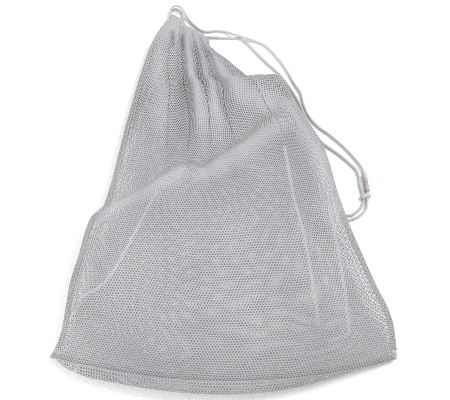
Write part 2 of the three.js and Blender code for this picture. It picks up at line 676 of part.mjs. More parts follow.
function casingRings(line, halfDepth, halfThickness, ruffle) {
  const last = line.length - 1;
  return line.map((point, i) => {
    const along = new THREE.Vector3().subVectors(line[Math.min(i + 1, last)], line[Math.max(i - 1, 0)]);
    const across = new THREE.Vector3().crossVectors(along.normalize(), MOUTH_OUT).normalize();
    const wave = ruffle * (0.5 + 0.5 * Math.cos((2 * Math.PI * CASING_RUFFLES * i) / last));
    const ring = [];
    for (let k = 0; k < CASING_SIDES; k += 1) {
      const angle = (2 * Math.PI * k) / CASING_SIDES;
      const corner = point.clone();
      corner.addScaledVector(MOUTH_OUT, (halfDepth - wave) * Math.cos(angle));
      corner.addScaledVector(across, (halfThickness - 0.3 * wave) * Math.sin(angle));
      ring.push(corner);
    }
    return ring;
  });
}

function knotPoints() {
  const points = [];
  for (let i = 0; i < KNOT_STEPS; i += 1) {
    const angle = (2 * Math.PI * i) / KNOT_STEPS;
    const reach = KNOT_RING + KNOT_WIND * Math.cos(3 * angle);
    points.push(
      new THREE.Vector3(
        KNOT_CENTRE.x + reach * Math.cos(2 * angle),
        KNOT_CENTRE.y + reach * Math.sin(2 * angle),
        KNOT_CENTRE.z + KNOT_WIND * Math.sin(3 * angle),
      ),
    );
  }
  return points;
}

function sleeveMesh() {
  const route = routePoints(OUTER_ROUTE).slice(SLEEVE_ENDS.fromStep, SLEEVE_ENDS.toStep + 1);
  const outerRings = cordRings(route, SLEEVE_DIAMETER / 2, 12);
  const innerRings = cordRings(route, SLEEVE_BORE / 2, 12);
  return boredSolid("cord_sleeve", outerRings, innerRings, SLEEVE_BLUSH);
}

const rows = clothRows();
const frontShares = acrossShares(FRONT_COLUMNS);
const casing = casingLine();
const casingOuter = casingRings(casing, CASING_DEPTH / 2, CASING_THICKNESS / 2, CASING_RUFFLE_DEPTH);
const casingInner = casingRings(
  casing,
  CASING_DEPTH / 2 - CASING_WALL - CASING_RUFFLE_DEPTH,
  CASING_THICKNESS / 2 - CASING_WALL,
  0,
);
const casingCordLine = [
  casing[0].clone().addScaledVector(MOUTH_ALONG, -CASING_CORD_OUT),
  ...casing,
  casing.at(-1).clone().addScaledVector(MOUTH_ALONG, -CASING_CORD_OUT),
];
const casingCordRings = casingRings(casingCordLine, CORD_DIAMETER / 2, CORD_DIAMETER / 2, 0);
const knotRings = cordRings(knotPoints(), KNOT_CORD_RADIUS, CORD_SIDES, true);

const bag = new THREE.Group();
bag.add(panelMesh("front_panel", frontPoint, frontShares, rows, 1));
bag.add(panelMesh("back_panel", backPoint, acrossShares(BACK_COLUMNS), rows, -1));
bag.add(seamStripMesh("left_side_seam", sideSeamPoints(0, rows), -1));
bag.add(seamStripMesh("right_side_seam", sideSeamPoints(1, rows), 1));
bag.add(seamStripMesh("bottom_seam", bottomSeamPoints(frontShares), 1));
bag.add(boredSolid("mouth_casing", casingOuter, casingInner, SEAM_WHITE));
bag.add(ringSolid("casing_cord", casingCordRings, CORD_WHITE));
bag.add(cordMesh("outer_strand", strandPoints(casingCordLine[0], OUTER_ROUTE)));
bag.add(cordMesh("inner_strand", strandPoints(casingCordLine.at(-1), INNER_ROUTE)));
bag.add(sleeveMesh());
bag.add(ringSolid("cord_knot", knotRings, CORD_WHITE, true));
bag.add(cordMesh("left_tail", routePoints(LEFT_TAIL_ROUTE)));
bag.add(cordMesh("right_tail", routePoints(RIGHT_TAIL_ROUTE)));

export default bag;
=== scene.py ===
# Net drawstring wash bag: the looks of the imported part, built around its frame.
# Tables and sizes are in millimetres in the layout they were drawn in; pieces are made in metres.
import math

import bpy
import numpy as np
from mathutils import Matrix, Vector


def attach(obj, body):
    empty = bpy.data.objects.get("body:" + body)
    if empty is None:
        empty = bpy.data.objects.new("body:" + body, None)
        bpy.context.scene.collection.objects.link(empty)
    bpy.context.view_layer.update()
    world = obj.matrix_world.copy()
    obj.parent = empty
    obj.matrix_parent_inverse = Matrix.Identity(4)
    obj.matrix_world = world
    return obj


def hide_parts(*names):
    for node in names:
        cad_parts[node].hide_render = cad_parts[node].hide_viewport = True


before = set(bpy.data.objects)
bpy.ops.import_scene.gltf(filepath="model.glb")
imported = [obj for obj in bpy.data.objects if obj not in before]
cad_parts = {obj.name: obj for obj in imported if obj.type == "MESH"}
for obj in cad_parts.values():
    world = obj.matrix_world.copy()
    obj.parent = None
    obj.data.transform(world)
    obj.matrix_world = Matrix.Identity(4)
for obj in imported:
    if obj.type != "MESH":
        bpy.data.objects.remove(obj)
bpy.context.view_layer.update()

MM = 0.001
UP = np.array([0, 0, 1])
TINY = 1e-9
BOX_CENTRE = np.array([-2.5, 1.7, 0.0])
SEED = 7


def table(columns, rows):
    """A table with named columns, from one row of numbers for each section."""
    return dict(zip(columns.split(), np.array(rows, float).T))


# Camera, from the photo
CAMERA_ELEVATION = math.radians(65)
CAMERA_DISTANCE = 1500
CAMERA_LENS = 92.3
SENSOR_WIDTH = 36
PIXEL_FILTER = 1.0

# Floor and studio light, in metres and watts
FLOOR_REACH = 6
FLOOR_DROP = 0.0006
FLOOR_ROUGHNESS = 0.6
FLOOR_GRAIN = 3
FLOOR_TONES = (0.93, 0.93, 0.93), (0.95, 0.95, 0.95)
WORLD_STRENGTH = 0.68
LIGHTS = [
    {"name": "key", "place": (1.0, 0.3, 1.7), "size": 1.0, "watts": 26},
    {"name": "fill", "place": (-1.2, -0.6, 1.3), "size": 1.4, "watts": 12},
    {"name": "low_left", "place": (-1.3, -0.1, 0.5), "size": 0.8, "watts": 4.5},
]

# White cloths: their two tones, and the scale of the filaments
CLOTH_LOOKS = {
    "net_white": {
        "dark": (0.353, 0.348, 0.366), "light": (0.419, 0.412, 0.43), "roughness": 0.72, "filaments": 1500,
    },
    "seam_white": {
        "dark": (0.372, 0.366, 0.381), "light": (0.437, 0.431, 0.446), "roughness": 0.75, "filaments": 900,
    },
    "cord_white": {
        "dark": (0.45, 0.485, 0.49), "light": (0.56, 0.555, 0.53), "roughness": 0.6, "filaments": 1400,
    },
}
CLOTH_SHEEN = 0.1
CLOTH_PATCHES = 14
CLOTH_BUMP = 0.5
CLOTH_BUMP_DEPTH = 0.0004
FINE_DETAIL = 3

# Blush plastic of the sleeve, which pales between two shares of its length
SLEEVE_ROUGHNESS = 0.42
SLEEVE_MOTTLE = 420
SLEEVE_TONES = (0.34, 0.25, 0.225), (0.5, 0.43, 0.405)
SLEEVE_PALE = (0.47, 0.48, 0.46)
SLEEVE_PALES = (0.62, 0.78)
SLEEVE_BUMP = 0.25
SLEEVE_BUMP_DEPTH = 0.0003

# The cloth as it was cut, for each panel, and the net knitted into it
FLAT_WIDTH = 450
FLAT_LENGTH = 600
NET_PITCH = 3.6
HOLE_SIDES = 6
HOLE_SHARE = 0.64
NET_WANDER = 0.35
WANDER_WAVES = (9, 11)

# How finely the panels are worked out, and how the cloth settles into its folds
GRID_COLUMNS = 145
GRID_ROWS = 181
FINE_STEPS = 401
SETTLE_STEPS = 160
MOST_GATHER = 1.12
SLACK_ALONG = 1.012
FOLD_REACH = 4.0
BACK_FOLD_SHARE = 0.7
FIRST_FOLD = 0.35
LEAST_FOLD = 0.25
FULL_FOLD_AT = 0.5
FOLD_WAVES = (7, 3)
RIPPLES = 24
LEAST_WAVE = 0.3
HELD_ACROSS = 0.05
HELD_ALONG = 0.04
DRAW_SHARE = 0.5
EVENED_ACROSS = 0.05
EVENED_ALONG = 0.16
PULL_HOME = 0.02
FRONT_FLOOR = 3.0
BACK_FLOOR = 0.0

# Front panel: how round it is across, and how the back panel turns up to the seams
ACROSS_POWER = 2.4
ACROSS_ROOT = 0.55
BACK_TURN_UP = 42
BACK_TURN_UP_SHARE = 0.3
BOTTOM_TURN = 0.11
BOTTOM_TURN_AT_CORNERS = 0.35
BOTTOM_TURN_POWER = 0.3
BOTTOM_TURN_FROM = math.radians(40)
BOTTOM_TURN_FADES = 0.4
FULL_WITHIN = 0.14

# The slanting ridge behind the full part
RIDGE_SLOPE_REACH = 6
RIDGE_DROP_FROM = -5
RIDGE_DROP_LEFT = 24
RIDGE_DROP_RIGHT = 50
RIDGE_LIP_AT = -2
RIDGE_LIP_HEIGHT = 5
RIDGE_LIP_WIDTH = 9
RIDGE_LIP_FROM = 30
RIDGE_LIP_TO = 80

# The side seams, row of cloth by row: cloth 0 is the bottom seam and cloth 1 the mouth
SIDE_SEAMS = table("cloth left_x left_y left_z right_x right_y right_z", [
    (0.0, -214, -214, 6, 209, -216, 6),
    (0.012, -209, -206, 8, 209, -210, 8),
    (0.03, -204, -198, 11, 208, -200, 11),
    (0.065, -199, -184, 17, 206, -181, 17),
    (0.11, -195, -160, 24, 200, -161, 25),
    (0.17, -190, -125, 30, 186, -131, 30),
    (0.24, -181, -91, 34, 170, -90, 33),
    (0.31, -173, -54, 35, 153, -42, 34),
    (0.345, -167, -39, 35, 147, -19, 33),
    (0.37, -157, -30, 32, 143, -4, 32),
    (0.42, -148, 2, 26, 137, 26, 31),
    (0.5, -138, 58, 22, 127, 66, 28),
    (0.57, -131, 98, 20, 109, 101, 25),
    (0.64, -124.4, 130, 18, 91, 140, 21),
    (0.7, -120.5, 150, 17, 77, 171, 18),
    (0.725, -119, 157, 17, 67, 179, 17),
    (0.75, -117.7, 163, 16, 53, 178, 16),
    (0.78, -115.8, 172, 16, 39, 173, 15),
    (0.84, -110.2, 194, 16, 20, 188, 14),
    (0.9, -104.2, 219, 15, 1, 206, 14),
    (0.95, -95, 243, 14, -13, 218, 13),
    (1.0, -83.5, 266, 13, -21, 227, 13),
])

# The rows between the seams: bow to the front, and rise on the full side and the neck side of the ridge
ROW_FORMS = table("cloth bow full neck", [
    (0.0, -39, 62, 46),
    (0.065, -33, 62, 46),
    (0.11, -28, 62, 46),
    (0.17, -22, 63, 46),
    (0.24, -16, 65, 46),
    (0.31, -12, 66, 45),
    (0.37, -9, 66, 41),
    (0.42, -8, 64, 37),
    (0.5, -8, 60, 32),
    (0.57, -9, 54, 29),
    (0.64, -11, 45, 27),
    (0.725, -14, 34, 26),
    (0.78, -10, 30, 23),
    (0.84, -4, 24, 20),
    (0.9, 0, 18, 16),
    (0.95, 0, 13, 12),
    (1.0, 0, 10.4, 10.4),
])

# Along the bottom seam: how high it lies over the corners, and how far the back swings out below it
BOTTOM_EDGE = table("across seam_rise swing", [
    (0, 0, 0),
    (0.04, 8, 64),
    (0.1, 16, 74),
    (0.2, 26, 62),
    (0.35, 32, 52),
    (0.5, 34, 50),
    (0.62, 32, 48),
    (0.74, 24, 36),
    (0.86, 13, 18),
    (0.95, 5, 6),
    (1, 0, 0),
])

# Plan line of the slanting ridge, from the left seam to the right seam
RIDGE_LINE = table("x y", [
    (-215, -46),
    (-166, -40),
    (-129, -37),
    (-92, -22),
    (-61, 3),
    (-43, 8),
    (-27, 2),
    (-12, 12),
    (31, 46),
    (50, 66),
    (77, 88),
    (92, 111),
    (130, 170),
])

# Neck pleats: share of the row at the mouth and the foot, half width, height, and where each runs out
PLEATS = table("at_mouth at_foot half_width height foot", [
    (0.12, 0.2, 0.06, 3.5, 0.48),
    (0.43, 0.345, 0.046, -8.5, 0.45),
    (0.54, 0.41, 0.046, 8, 0.46),
    (0.63, 0.46, 0.034, -3, 0.58),
    (0.72, 0.51, 0.042, 6, 0.48),
    (0.79, 0.57, 0.046, -8, 0.54),
    (0.87, 0.66, 0.055, 5, 0.58),
    (0.95, 0.84, 0.04, -3.5, 0.64),
])
PLEAT_RISE = 0.16
PLEAT_SWINGS_FROM = 0.62
PLEAT_NARROWS_FROM = 0.74
PLEAT_SHARE_AT_MOUTH = 0.25

# Tucks: lines where the neck's spare cloth folds under, and the share of it that each takes
TUCKS = table("at_mouth at_foot takes", [
    (0.06, 0.04, 0.12),
    (0.27, 0.24, 0.15),
    (0.43, 0.345, 0.2),
    (0.63, 0.46, 0.13),
    (0.79, 0.57, 0.18),
    (0.91, 0.8, 0.13),
    (0.97, 0.95, 0.09),
])
TUCK_FOOT = 0.45
TUCK_RISE = 0.24
TUCK_WANDER = 0.006
TUCK_WANDER_RATE = 23
TUCK_WANDER_SHIFT = 40
TUCK_DEPTH = 14
TUCK_DEPTH_AT_MOUTH = 2.5
TUCK_SHALLOWS_FROM = 0.72
TUCK_OPENING = 0.2
TUCK_DIP = 1.6
TUCK_DIP_RATE = 2.2
TUCK_DIP_WIDTH = 6
TUCK_STEPS = 721

# How far the net is squeezed across between the tucks, row of cloth by row
SQUEEZE = table("cloth share", [
    (0, 1),
    (0.5, 1),
    (0.72, 0.92),
    (0.88, 0.78),
    (1, 0.56),
])

# Where the net's holes close: squeezed, on the pleats' tops, pinched, and at the hem, which lies double
SQUEEZED_FROM = 0.5
SQUEEZED_SPAN = 0.45
SQUEEZED_OPEN = 0.45
PLEAT_CLOSES = 0.5
PLEAT_CLOSED_AT = 5
PINCH_CLOSES = 0.9
PINCH_CLOSE_RATE = 1.3
PINCH_CLOSE_WIDTH = 1.5
HEM_CLOSES = 0.75
HEM_CLOSES_FROM = 0.9

# Slack stretches where the net looks smooth: right of the neck, down the right side and along the ridge
SMOOTH_STRETCHES = table("from_x from_y to_x to_y half_width amount", [
    (-12, 190, 2, 151, 12, 0.6),
    (10, 147, 58, 120, 20, 0.5),
    (84, 122, 118, 40, 12, 0.5),
    (118, 40, 142, -36, 10, 0.45),
    (-146, -51, -89, -26, 10, 0.4),
    (-89, -26, -53, -4, 10, 0.4),
    (-26, -10, 44, 46, 13, 0.5),
    (44, 46, 70, 73, 13, 0.5),
])

# The front panel's hem, which goes on over the casing to the edge of the mouth
HEM_ROWS = 7
HEM_ROUND = 3.6
HEM_ROUND_SHARE = 0.6
HEM_DROP = 6
HEM_LIFT = 0.5
HEM_RISES_WITHIN = 0.35
HEM_ENDS_AT = -1
HEM_END_WIDTH = 5
HEM_RUFFLE = 0.7
HEM_RUFFLE_PITCH = 7.5
HEM_RUFFLE_DRIFT = 2
HEM_DRIFT_LENGTH = 9
HEM_EDGE = table("across reach", [
    (0, 12.4),
    (0.05, 15),
    (0.17, 14.6),
    (0.32, 10.6),
    (0.43, 8),
    (0.54, 6.6),
    (0.73, 5.8),
    (0.84, 5.6),
    (0.92, 5),
    (1, 2.6),
])

# Grooves between the gathers of the hem, which fan out from the mouth's left corner
HEM_GROOVES = table("from_x from_y to_x to_y half_width amount", [
    (-72.6, 246, -71, 220, 2.4, 5),
    (-61, 257, -60.6, 241, 2.2, 2.6),
    (-60.6, 241, -56, 215, 2.6, 5),
])

# Broad swells and hollows of the full part
SWELLS = table("x y radius height", [
    (-112, -118, 58, 6),
    (-20, -150, 46, -6),
    (58, -62, 55, 7),
    (138, -165, 42, 6),
    (-60, -45, 40, 4),
    (118, 20, 34, 4),
])

# Long creases of the full part, as straight runs, and the sharp pinch on top of each
CREASES = table("from_x from_y to_x to_y amount", [
    (74, 34, 83, -40, 4),
    (83, -40, 95, -92, 5),
    (95, -92, 110, -197, 4),
    (128, -28, 138, -114, 4),
    (138, -114, 146, -201, 4),
    (-82, -33, -96, -63, 3),
    (-96, -63, -104, -79, 4),
    (-104, -79, -117, -106, 4),
    (-117, -106, -130, -129, 4),
    (-130, -129, -142, -142, 4),
    (-142, -142, -154, -150, 4),
    (-154, -150, -174, -154, 3),
])
CREASE_HALF_WIDTH = 8
PINCH_HALF_WIDTH = 1.4
PINCH_HEIGHT = 1.6
PINCH_WHOLE_AT = 4

# Seams: a rolled edge on the seam line and an overlocked allowance inside the bag
SIDE_SEAM_SPAN = (0.02, 0.985)
BOTTOM_SEAM_SPAN = (0.004, 0.996)
SEAM_POINTS = 90
SEAM_STEP = 1.6
SEAM_ROLL = 0.7
SEAM_ROLL_SIDES = 8
SEAM_INSET = 1.0
SEAM_WIDTH = 5.6
SEAM_SECTION = table("out up", [
    (0, 0.5),
    (0.5, 0.65),
    (1, 0.5),
    (1, -0.5),
    (0.5, -0.65),
    (0, -0.5),
])
SEAM_WAVE = 0.5
SEAM_WAVE_LENGTH = 3.1
SEAM_SLOW_WAVE = 0.6
SEAM_SLOW_LENGTH = 7.3
SEAM_EDGE_WAVE = 0.5
OVERLOCK_PITCH = 3.2
OVERLOCK_THREAD = 0.28
OVERLOCK_SIDES = 5
OVERLOCK_PAST_EDGE = 0.2
OVERLOCK_PAST_SEAM = 0.4
OVERLOCK_HEIGHT = 0.8

# Gathered casing round the mouth
CASING_DEPTH = 7.4
CASING_THICKNESS = 6.2
CASING_GIRTH = 21.4
CASING_LENGTH = 125
CASING_MIDDLE_OUT = 4.1
CASING_BACK_HEIGHT = 4.3
CASING_FRONT_HEIGHT = 17
CASING_FRONT_ARCH = 2.4
CASING_ARCH_POWER = 0.6
CASING_START_INSET = 9
CASING_END_INSET = 13
CASING_END_LIMIT = 0.98
CASING_CORD_OUT = 3
CASING_POINTS = 24
CASING_STEP = 0.7
CASING_SIDES = 40
CASING_LAYERS = (1.0, 0.84)
CASING_SPARE_ROUND = 1.15
CASING_SPARE_ALONG = 1.9
CASING_OPEN = 0.62
RUFFLE_PITCH = 8
RUFFLE_DEPTH = 1.0
RUFFLE_SHARE_INSIDE = 0.5
RUFFLE_SHARE_ABOVE = 0.55
RUFFLE_LAYER_SHIFT = 1.7
RUFFLE_DRIFT = 2.4
RUFFLE_WAVES = (6, 1)
RUFFLE_WAVE_ROUND = 0.2

# Drawcord
CORD_DIAMETER = 3.5
CORD_STEP = 0.8
CORD_SIDES = 20
CORD_END_SHARE = 0.72
BRAID_STARTS = 5
BRAID_PITCH = 11
BRAID_RELIEF = 0.22
STRAND_GAP = 0.5
STRAND_LEAD = 1.5
PATH_STEPS = 40
LEAST_POINTS = 8

# Sleeve on the outer strand, between two points of its route
SLEEVE_FROM_STEP = 29
SLEEVE_TO_STEP = 31
SLEEVE_DIAMETER = 6.2
SLEEVE_BORE = 4.6
SLEEVE_WAIST = 0.12
SLEEVE_RIM = 0.16
SLEEVE_RIM_SHARE = 0.035
SLEEVE_STEP = 0.4
SLEEVE_SIDES = 28

# Cord routes on the surface: each strand from the casing's left end to the knot, and the two ends
OUTER_ROUTE = [
    (-76.8, 272.6, 16.2),
    (-77.2, 278, 16.2),
    (-75.7, 284.6, 15.8),
    (-72.6, 290.2, 14.8),
    (-67.2, 293.4, 12.8),
    (-61.7, 292.6, 10),
    (-57.4, 287.5, 7),
    (-53.3, 281.2, 4.4),
    (-46.9, 272.4, 2.6),
    (-39.3, 264.6, 2.2),
    (-32.1, 259.2, 2.2),
    (-25, 257.6, 2.2),
    (-13, 259.2, 2.2),
    (1.9, 256.6, 3),
    (11.9, 251, 5.6),
    (20.8, 247.4, 6.8),
    (38.8, 242.6, 3),
    (55.4, 234.7, 2.2),
    (74.3, 211.5, 2.2),
    (85.6, 192.3, 2.2),
    (95, 173, 2.2),
    (102.6, 159, 2.2),
    (106.4, 140.4, 2.2),
    (112.6, 123.5, 2.2),
    (124.4, 107.5, 2.2),
    (139.9, 94.6, 2.2),
    (159.1, 75, 2.2),
    (172.8, 57.2, 2.4),
    (179.6, 46, 3.2),
    (182.8, 36.1, 3.3),
    (184.3, 23, 3.3),
    (185.4, 11.2, 3.3),
    (185.2, 9, 3.3),
]
INNER_ROUTE = [
    (-76.8, 272.8, 4.3),
    (-77.4, 280, 4.3),
    (-76.2, 288.4, 4.2),
    (-72, 293.6, 3.6),
    (-66.2, 294, 2.8),
    (-61.4, 289, 2.2),
    (-58.8, 280, 2.2),
    (-57, 269.4, 2.2),
    (-50.8, 261.8, 2.2),
    (-41, 254, 2.2),
    (-30.8, 248.8, 2.2),
    (-20, 248.4, 2.2),
    (-7.9, 247.8, 2.2),
    (6.9, 247, 2.2),
    (20.8, 246.2, 2.2),
    (29, 240, 2.2),
    (40, 227, 2.2),
    (55.6, 208.6, 2.2),
    (73.6, 189.6, 2.2),
    (88, 167.6, 2.2),
    (99.4, 145.4, 2.2),
    (108, 122, 2.2),
    (119, 99, 2.2),
    (129, 83.6, 2.2),
    (149.4, 66.6, 2.2),
    (166, 50.2, 2.2),
    (172.6, 42, 2.2),
    (175.4, 32, 2.2),
    (176.4, 20.6, 2.4),
    (178.7, 9.5, 3.2),
]
LEFT_TAIL_ROUTE = [
    (179.7, -3.9, 2.6),
    (177, -10.6, 2.2),
    (170, -18, 2.2),
    (163.4, -22.4, 2.2),
    (156.6, -23, 2.2),
]
RIGHT_TAIL_ROUTE = [
    (184.6, -2.9, 2.6),
    (183, -12.6, 2.2),
    (178.4, -19.4, 2.2),
    (170.6, -25.6, 2.2),
    (163.2, -28.6, 2.2),
    (156.6, -30, 2.2),
]

# Overhand knot: two cords run through it, and a fat turn of the doubled cord lies round them on a slant
KNOT_CENTRE = (182.9, 3.4, 4.1)
KNOT_CORD = 3.7
KNOT_CORD_DRAWN_IN = 0.35
KNOT_CORD_STEP = 0.5
KNOT_REACH = 4
KNOT_RISE = 1.6
KNOT_SLANT = 0.28
KNOT_TURN_CORD = 5.6
KNOT_TOP_SWELL = 0.8
KNOT_SIDE_SWELL = 1.3
KNOT_RIGHT_SWELL = 0.1
KNOT_HALF_TURN = 0.47
KNOT_STEPS = 60


# Small helpers

def mix(a, b, t):
    return a + (b - a) * t


def clamp_unit(t):
    return np.clip(t, 0, 1)


def smooth_step(t):
    t = clamp_unit(t)
    return t * t * (3 - 2 * t)


def bell(t):
    return np.exp(-t * t)


def unit(vectors):
    return vectors / np.linalg.norm(vectors, axis=-1, keepdims=True)


def lengths_along(points, axis):
    return np.linalg.norm(np.diff(points, axis=axis), axis=-1)


def row_lengths(grid):
    return lengths_along(grid, 1).sum(axis=1)


def travelled_along(line):
    """Length from a line's first point to each of its points."""
    return np.concatenate([[0], np.cumsum(lengths_along(line, 0))])


def points_at(places, travelled, line):
    """Points at given lengths along a line."""
    return np.stack([np.interp(places, travelled, column) for column in line.T], axis=-1)


def cubic(start, end, leave, arrive, span, t):
    """A curve from start to end that leaves and arrives with the given slopes, at a share of its span."""
    eased = mix(start, end, t * t * (3 - 2 * t))
    return eased + t * (1 - t) ** 2 * span * leave + t * t * (t - 1) * span * arrive


def table_curve(rows, key_name, value_name):
    """A smooth curve through a table's column that never overshoots its rows."""
    keys, values = rows[key_name], rows[value_name]
    slopes = np.diff(values) / np.diff(keys)
    before, after = slopes[:-1], slopes[1:]
    total = np.where(before + after == 0, 1, before + after)
    inner = np.where(before * after <= 0, 0, 2 * before * after / total)
    tangents = np.concatenate([slopes[:1], inner, slopes[-1:]])

    def curve(key):
        key = np.asarray(key, float)
        i = np.clip(np.searchsorted(keys, key) - 1, 0, len(keys) - 2)
        span = keys[i + 1] - keys[i]
        t = clamp_unit((key - keys[i]) / span)
        return cubic(values[i], values[i + 1], tangents[i], tangents[i + 1], span, t)

    return curve


STATION = {}
for form in (SIDE_SEAMS, ROW_FORMS):
    for column in form:
        STATION[column] = table_curve(form, "cloth", column)
ridge_y = table_curve(RIDGE_LINE, "x", "y")
squeeze = table_curve(SQUEEZE, "cloth", "share")
hem_reach = table_curve(HEM_EDGE, "across", "reach")
seam_rise = table_curve(BOTTOM_EDGE, "across", "seam_rise")
back_swing = table_curve(BOTTOM_EDGE, "across", "swing")

# The mouth's two corners in plan, and the ways along it and out of it
MOUTH_LEFT = np.array([SIDE_SEAMS["left_x"][-1], SIDE_SEAMS["left_y"][-1], 0])
MOUTH_RIGHT = np.array([SIDE_SEAMS["right_x"][-1], SIDE_SEAMS["right_y"][-1], 0])
MOUTH_WIDTH = np.linalg.norm(MOUTH_RIGHT - MOUTH_LEFT)
MOUTH_ALONG = (MOUTH_RIGHT - MOUTH_LEFT) / MOUTH_WIDTH
MOUTH_OUT = np.array([-MOUTH_ALONG[1], MOUTH_ALONG[0], 0])


# The two panels as smooth forms, shaped like the solids

def row_point(across, cloth):
    """Plan point and seam height at a share across the row of cloth."""
    bow = STATION["bow"](cloth) * 4 * across * (1 - across)
    x = mix(STATION["left_x"](cloth), STATION["right_x"](cloth), across)
    y = mix(STATION["left_y"](cloth), STATION["right_y"](cloth), across) + bow
    seam_z = mix(STATION["left_z"](cloth), STATION["right_z"](cloth), across)
    return x, y, seam_z


def behind_ridge(x, y):
    """Distance behind the ridge's line in plan."""
    rise = ridge_y(x + RIDGE_SLOPE_REACH) - ridge_y(x - RIDGE_SLOPE_REACH)
    return (y - ridge_y(x)) / np.hypot(1, rise / (2 * RIDGE_SLOPE_REACH))


def pleat_swing(cloth):
    """How far a pleat has swung from its place at the foot to its place at the mouth."""
    return smooth_step((cloth - PLEAT_SWINGS_FROM) / (1 - PLEAT_SWINGS_FROM))


def pleat_height(across, cloth):
    height = np.zeros_like(across)
    narrowing = clamp_unit((cloth - PLEAT_NARROWS_FROM) / (1 - PLEAT_NARROWS_FROM))
    for at_mouth, at_foot, half_width, tall, foot in zip(*PLEATS.values()):
        up = smooth_step((cloth - foot) / PLEAT_RISE)
        centre = mix(at_foot, at_mouth, pleat_swing(cloth))
        here = tall * up * mix(1, PLEAT_SHARE_AT_MOUTH, narrowing)
        height = height + here * bell((across - centre) / half_width)
    return height


def swell_height(x, y):
    height = np.zeros_like(x)
    for at_x, at_y, radius, tall in zip(*SWELLS.values()):
        height = height + tall * bell(np.hypot(x - at_x, y - at_y) / radius)
    return height


def off_run(x, y, from_x, from_y, to_x, to_y):
    """Plan distance from a straight run."""
    run_x, run_y = to_x - from_x, to_y - from_y
    along = ((x - from_x) * run_x + (y - from_y) * run_y) / (run_x ** 2 + run_y ** 2)
    along = clamp_unit(along)
    return np.hypot(x - from_x - along * run_x, y - from_y - along * run_y)


def along_runs(x, y, runs, half_widths):
    """The most that any run of a table gives each place: its amount on the run, and less beside it."""
    most = np.zeros_like(x)
    ends = zip(runs["from_x"], runs["from_y"], runs["to_x"], runs["to_y"])
    half_widths = np.broadcast_to(half_widths, runs["amount"].shape)
    for run, amount, half_width in zip(ends, runs["amount"], half_widths):
        most = np.maximum(most, amount * bell(off_run(x, y, *run) / half_width))
    return most


def front_surface(across, cloth):
    """The front panel rises from the seams, fullest before the ridge, with its creases and neck pleats."""
    across, cloth = np.broadcast_arrays(np.asarray(across, float), np.asarray(cloth, float))
    x, y, seam_z = row_point(across, cloth)
    behind = behind_ridge(x, y)
    ridge_share = 1 - smooth_step((x - RIDGE_LIP_FROM) / (RIDGE_LIP_TO - RIDGE_LIP_FROM))
    drop_width = mix(RIDGE_DROP_RIGHT, RIDGE_DROP_LEFT, ridge_share)
    dropped = smooth_step((behind - RIDGE_DROP_FROM) / drop_width)
    lip = RIDGE_LIP_HEIGHT * ridge_share * bell((behind - RIDGE_LIP_AT) / RIDGE_LIP_WIDTH)
    share = clamp_unit(1 - np.abs(2 * across - 1) ** ACROSS_POWER) ** ACROSS_ROOT
    grown = np.sqrt(1 - (1 - clamp_unit(cloth / FULL_WITHIN)) ** 2)
    rise = mix(STATION["full"](cloth), STATION["neck"](cloth), dropped)
    creases = along_runs(x, y, CREASES, CREASE_HALF_WIDTH)
    pinched = PINCH_HEIGHT * (along_runs(x, y, CREASES, PINCH_HALF_WIDTH) / PINCH_WHOLE_AT)
    swell = (swell_height(x, y) + creases + pinched) * (1 - dropped)
    shaping = lip + pleat_height(across, cloth) + swell
    whole = share * (rise + shaping * np.sqrt(share))
    return np.stack([x, y, seam_z + mix(seam_rise(across), whole, grown)], axis=-1)


def back_surface(across, cloth):
    """The back panel leaves the bottom seam, bulges to the front, turns under and lies flat."""
    across, cloth = np.broadcast_arrays(np.asarray(across, float), np.asarray(cloth, float))
    middle = (4 * across * (1 - across)) ** BOTTOM_TURN_POWER
    turn_length = BOTTOM_TURN * mix(BOTTOM_TURN_AT_CORNERS, 1, middle)
    angle = mix(BOTTOM_TURN_FROM, -math.pi / 2, clamp_unit(cloth / turn_length))
    delayed = np.maximum(0, cloth - turn_length) / (1 - turn_length)
    x, y, seam_z = row_point(across, mix(cloth, delayed, middle))
    fading = 1 - clamp_unit((cloth - turn_length) / BOTTOM_TURN_FADES)
    inset = back_swing(across) * (math.cos(BOTTOM_TURN_FROM) - np.cos(angle)) * fading
    width = STATION["right_x"](cloth) - STATION["left_x"](cloth)
    turn_up = np.minimum(BACK_TURN_UP, width * BACK_TURN_UP_SHARE)
    inward = clamp_unit(np.minimum(across, 1 - across) * width / turn_up)
    side_share = 1 - np.sqrt(1 - (1 - inward) ** 2)
    bottom_share = (1 + np.sin(angle)) / (1 + math.sin(BOTTOM_TURN_FROM))
    edge = seam_z * (1 - (1 - side_share) * (1 - bottom_share))
    return np.stack([x, y + inset, seam_rise(across) * bottom_share + edge], axis=-1)


# From a smooth form to settled cloth

def even_grid(surface):
    """Points of a panel at even steps of cloth, along it and across each row."""
    fine = np.linspace(0, 1, FINE_STEPS)
    sample = surface(fine[None, :], fine[:, None])
    travelled = np.concatenate([[0], np.cumsum(lengths_along(sample, 0).mean(axis=1))])
    cloths = np.interp(np.linspace(0, travelled[-1], GRID_ROWS), travelled, fine)
    acrosses = np.zeros((GRID_ROWS, GRID_COLUMNS))
    for j, cloth in enumerate(cloths):
        arc = travelled_along(surface(fine, cloth))
        acrosses[j] = np.interp(np.linspace(0, arc[-1], GRID_COLUMNS), arc, fine)
    return surface(acrosses, cloths[:, None]), acrosses, cloths


def grid_normals(grid):
    over = np.gradient(grid, axis=1)
    along = np.gradient(grid, axis=0)
    normals = np.cross(over, along)
    return normals / np.maximum(np.linalg.norm(normals, axis=-1, keepdims=True), TINY)


def ripples(u, v, waves, rng):
    """A smooth random field from a few waves: (waves across, waves along) up to those counts."""
    field = np.zeros(np.broadcast(u, v).shape)
    for _ in range(RIPPLES):
        across = rng.uniform(LEAST_WAVE, 1) * waves[0]
        along = rng.uniform(-1, 1) * waves[1]
        field += np.sin(2 * math.pi * (across * u + along * v + rng.uniform()))
    return field / math.sqrt(RIPPLES)


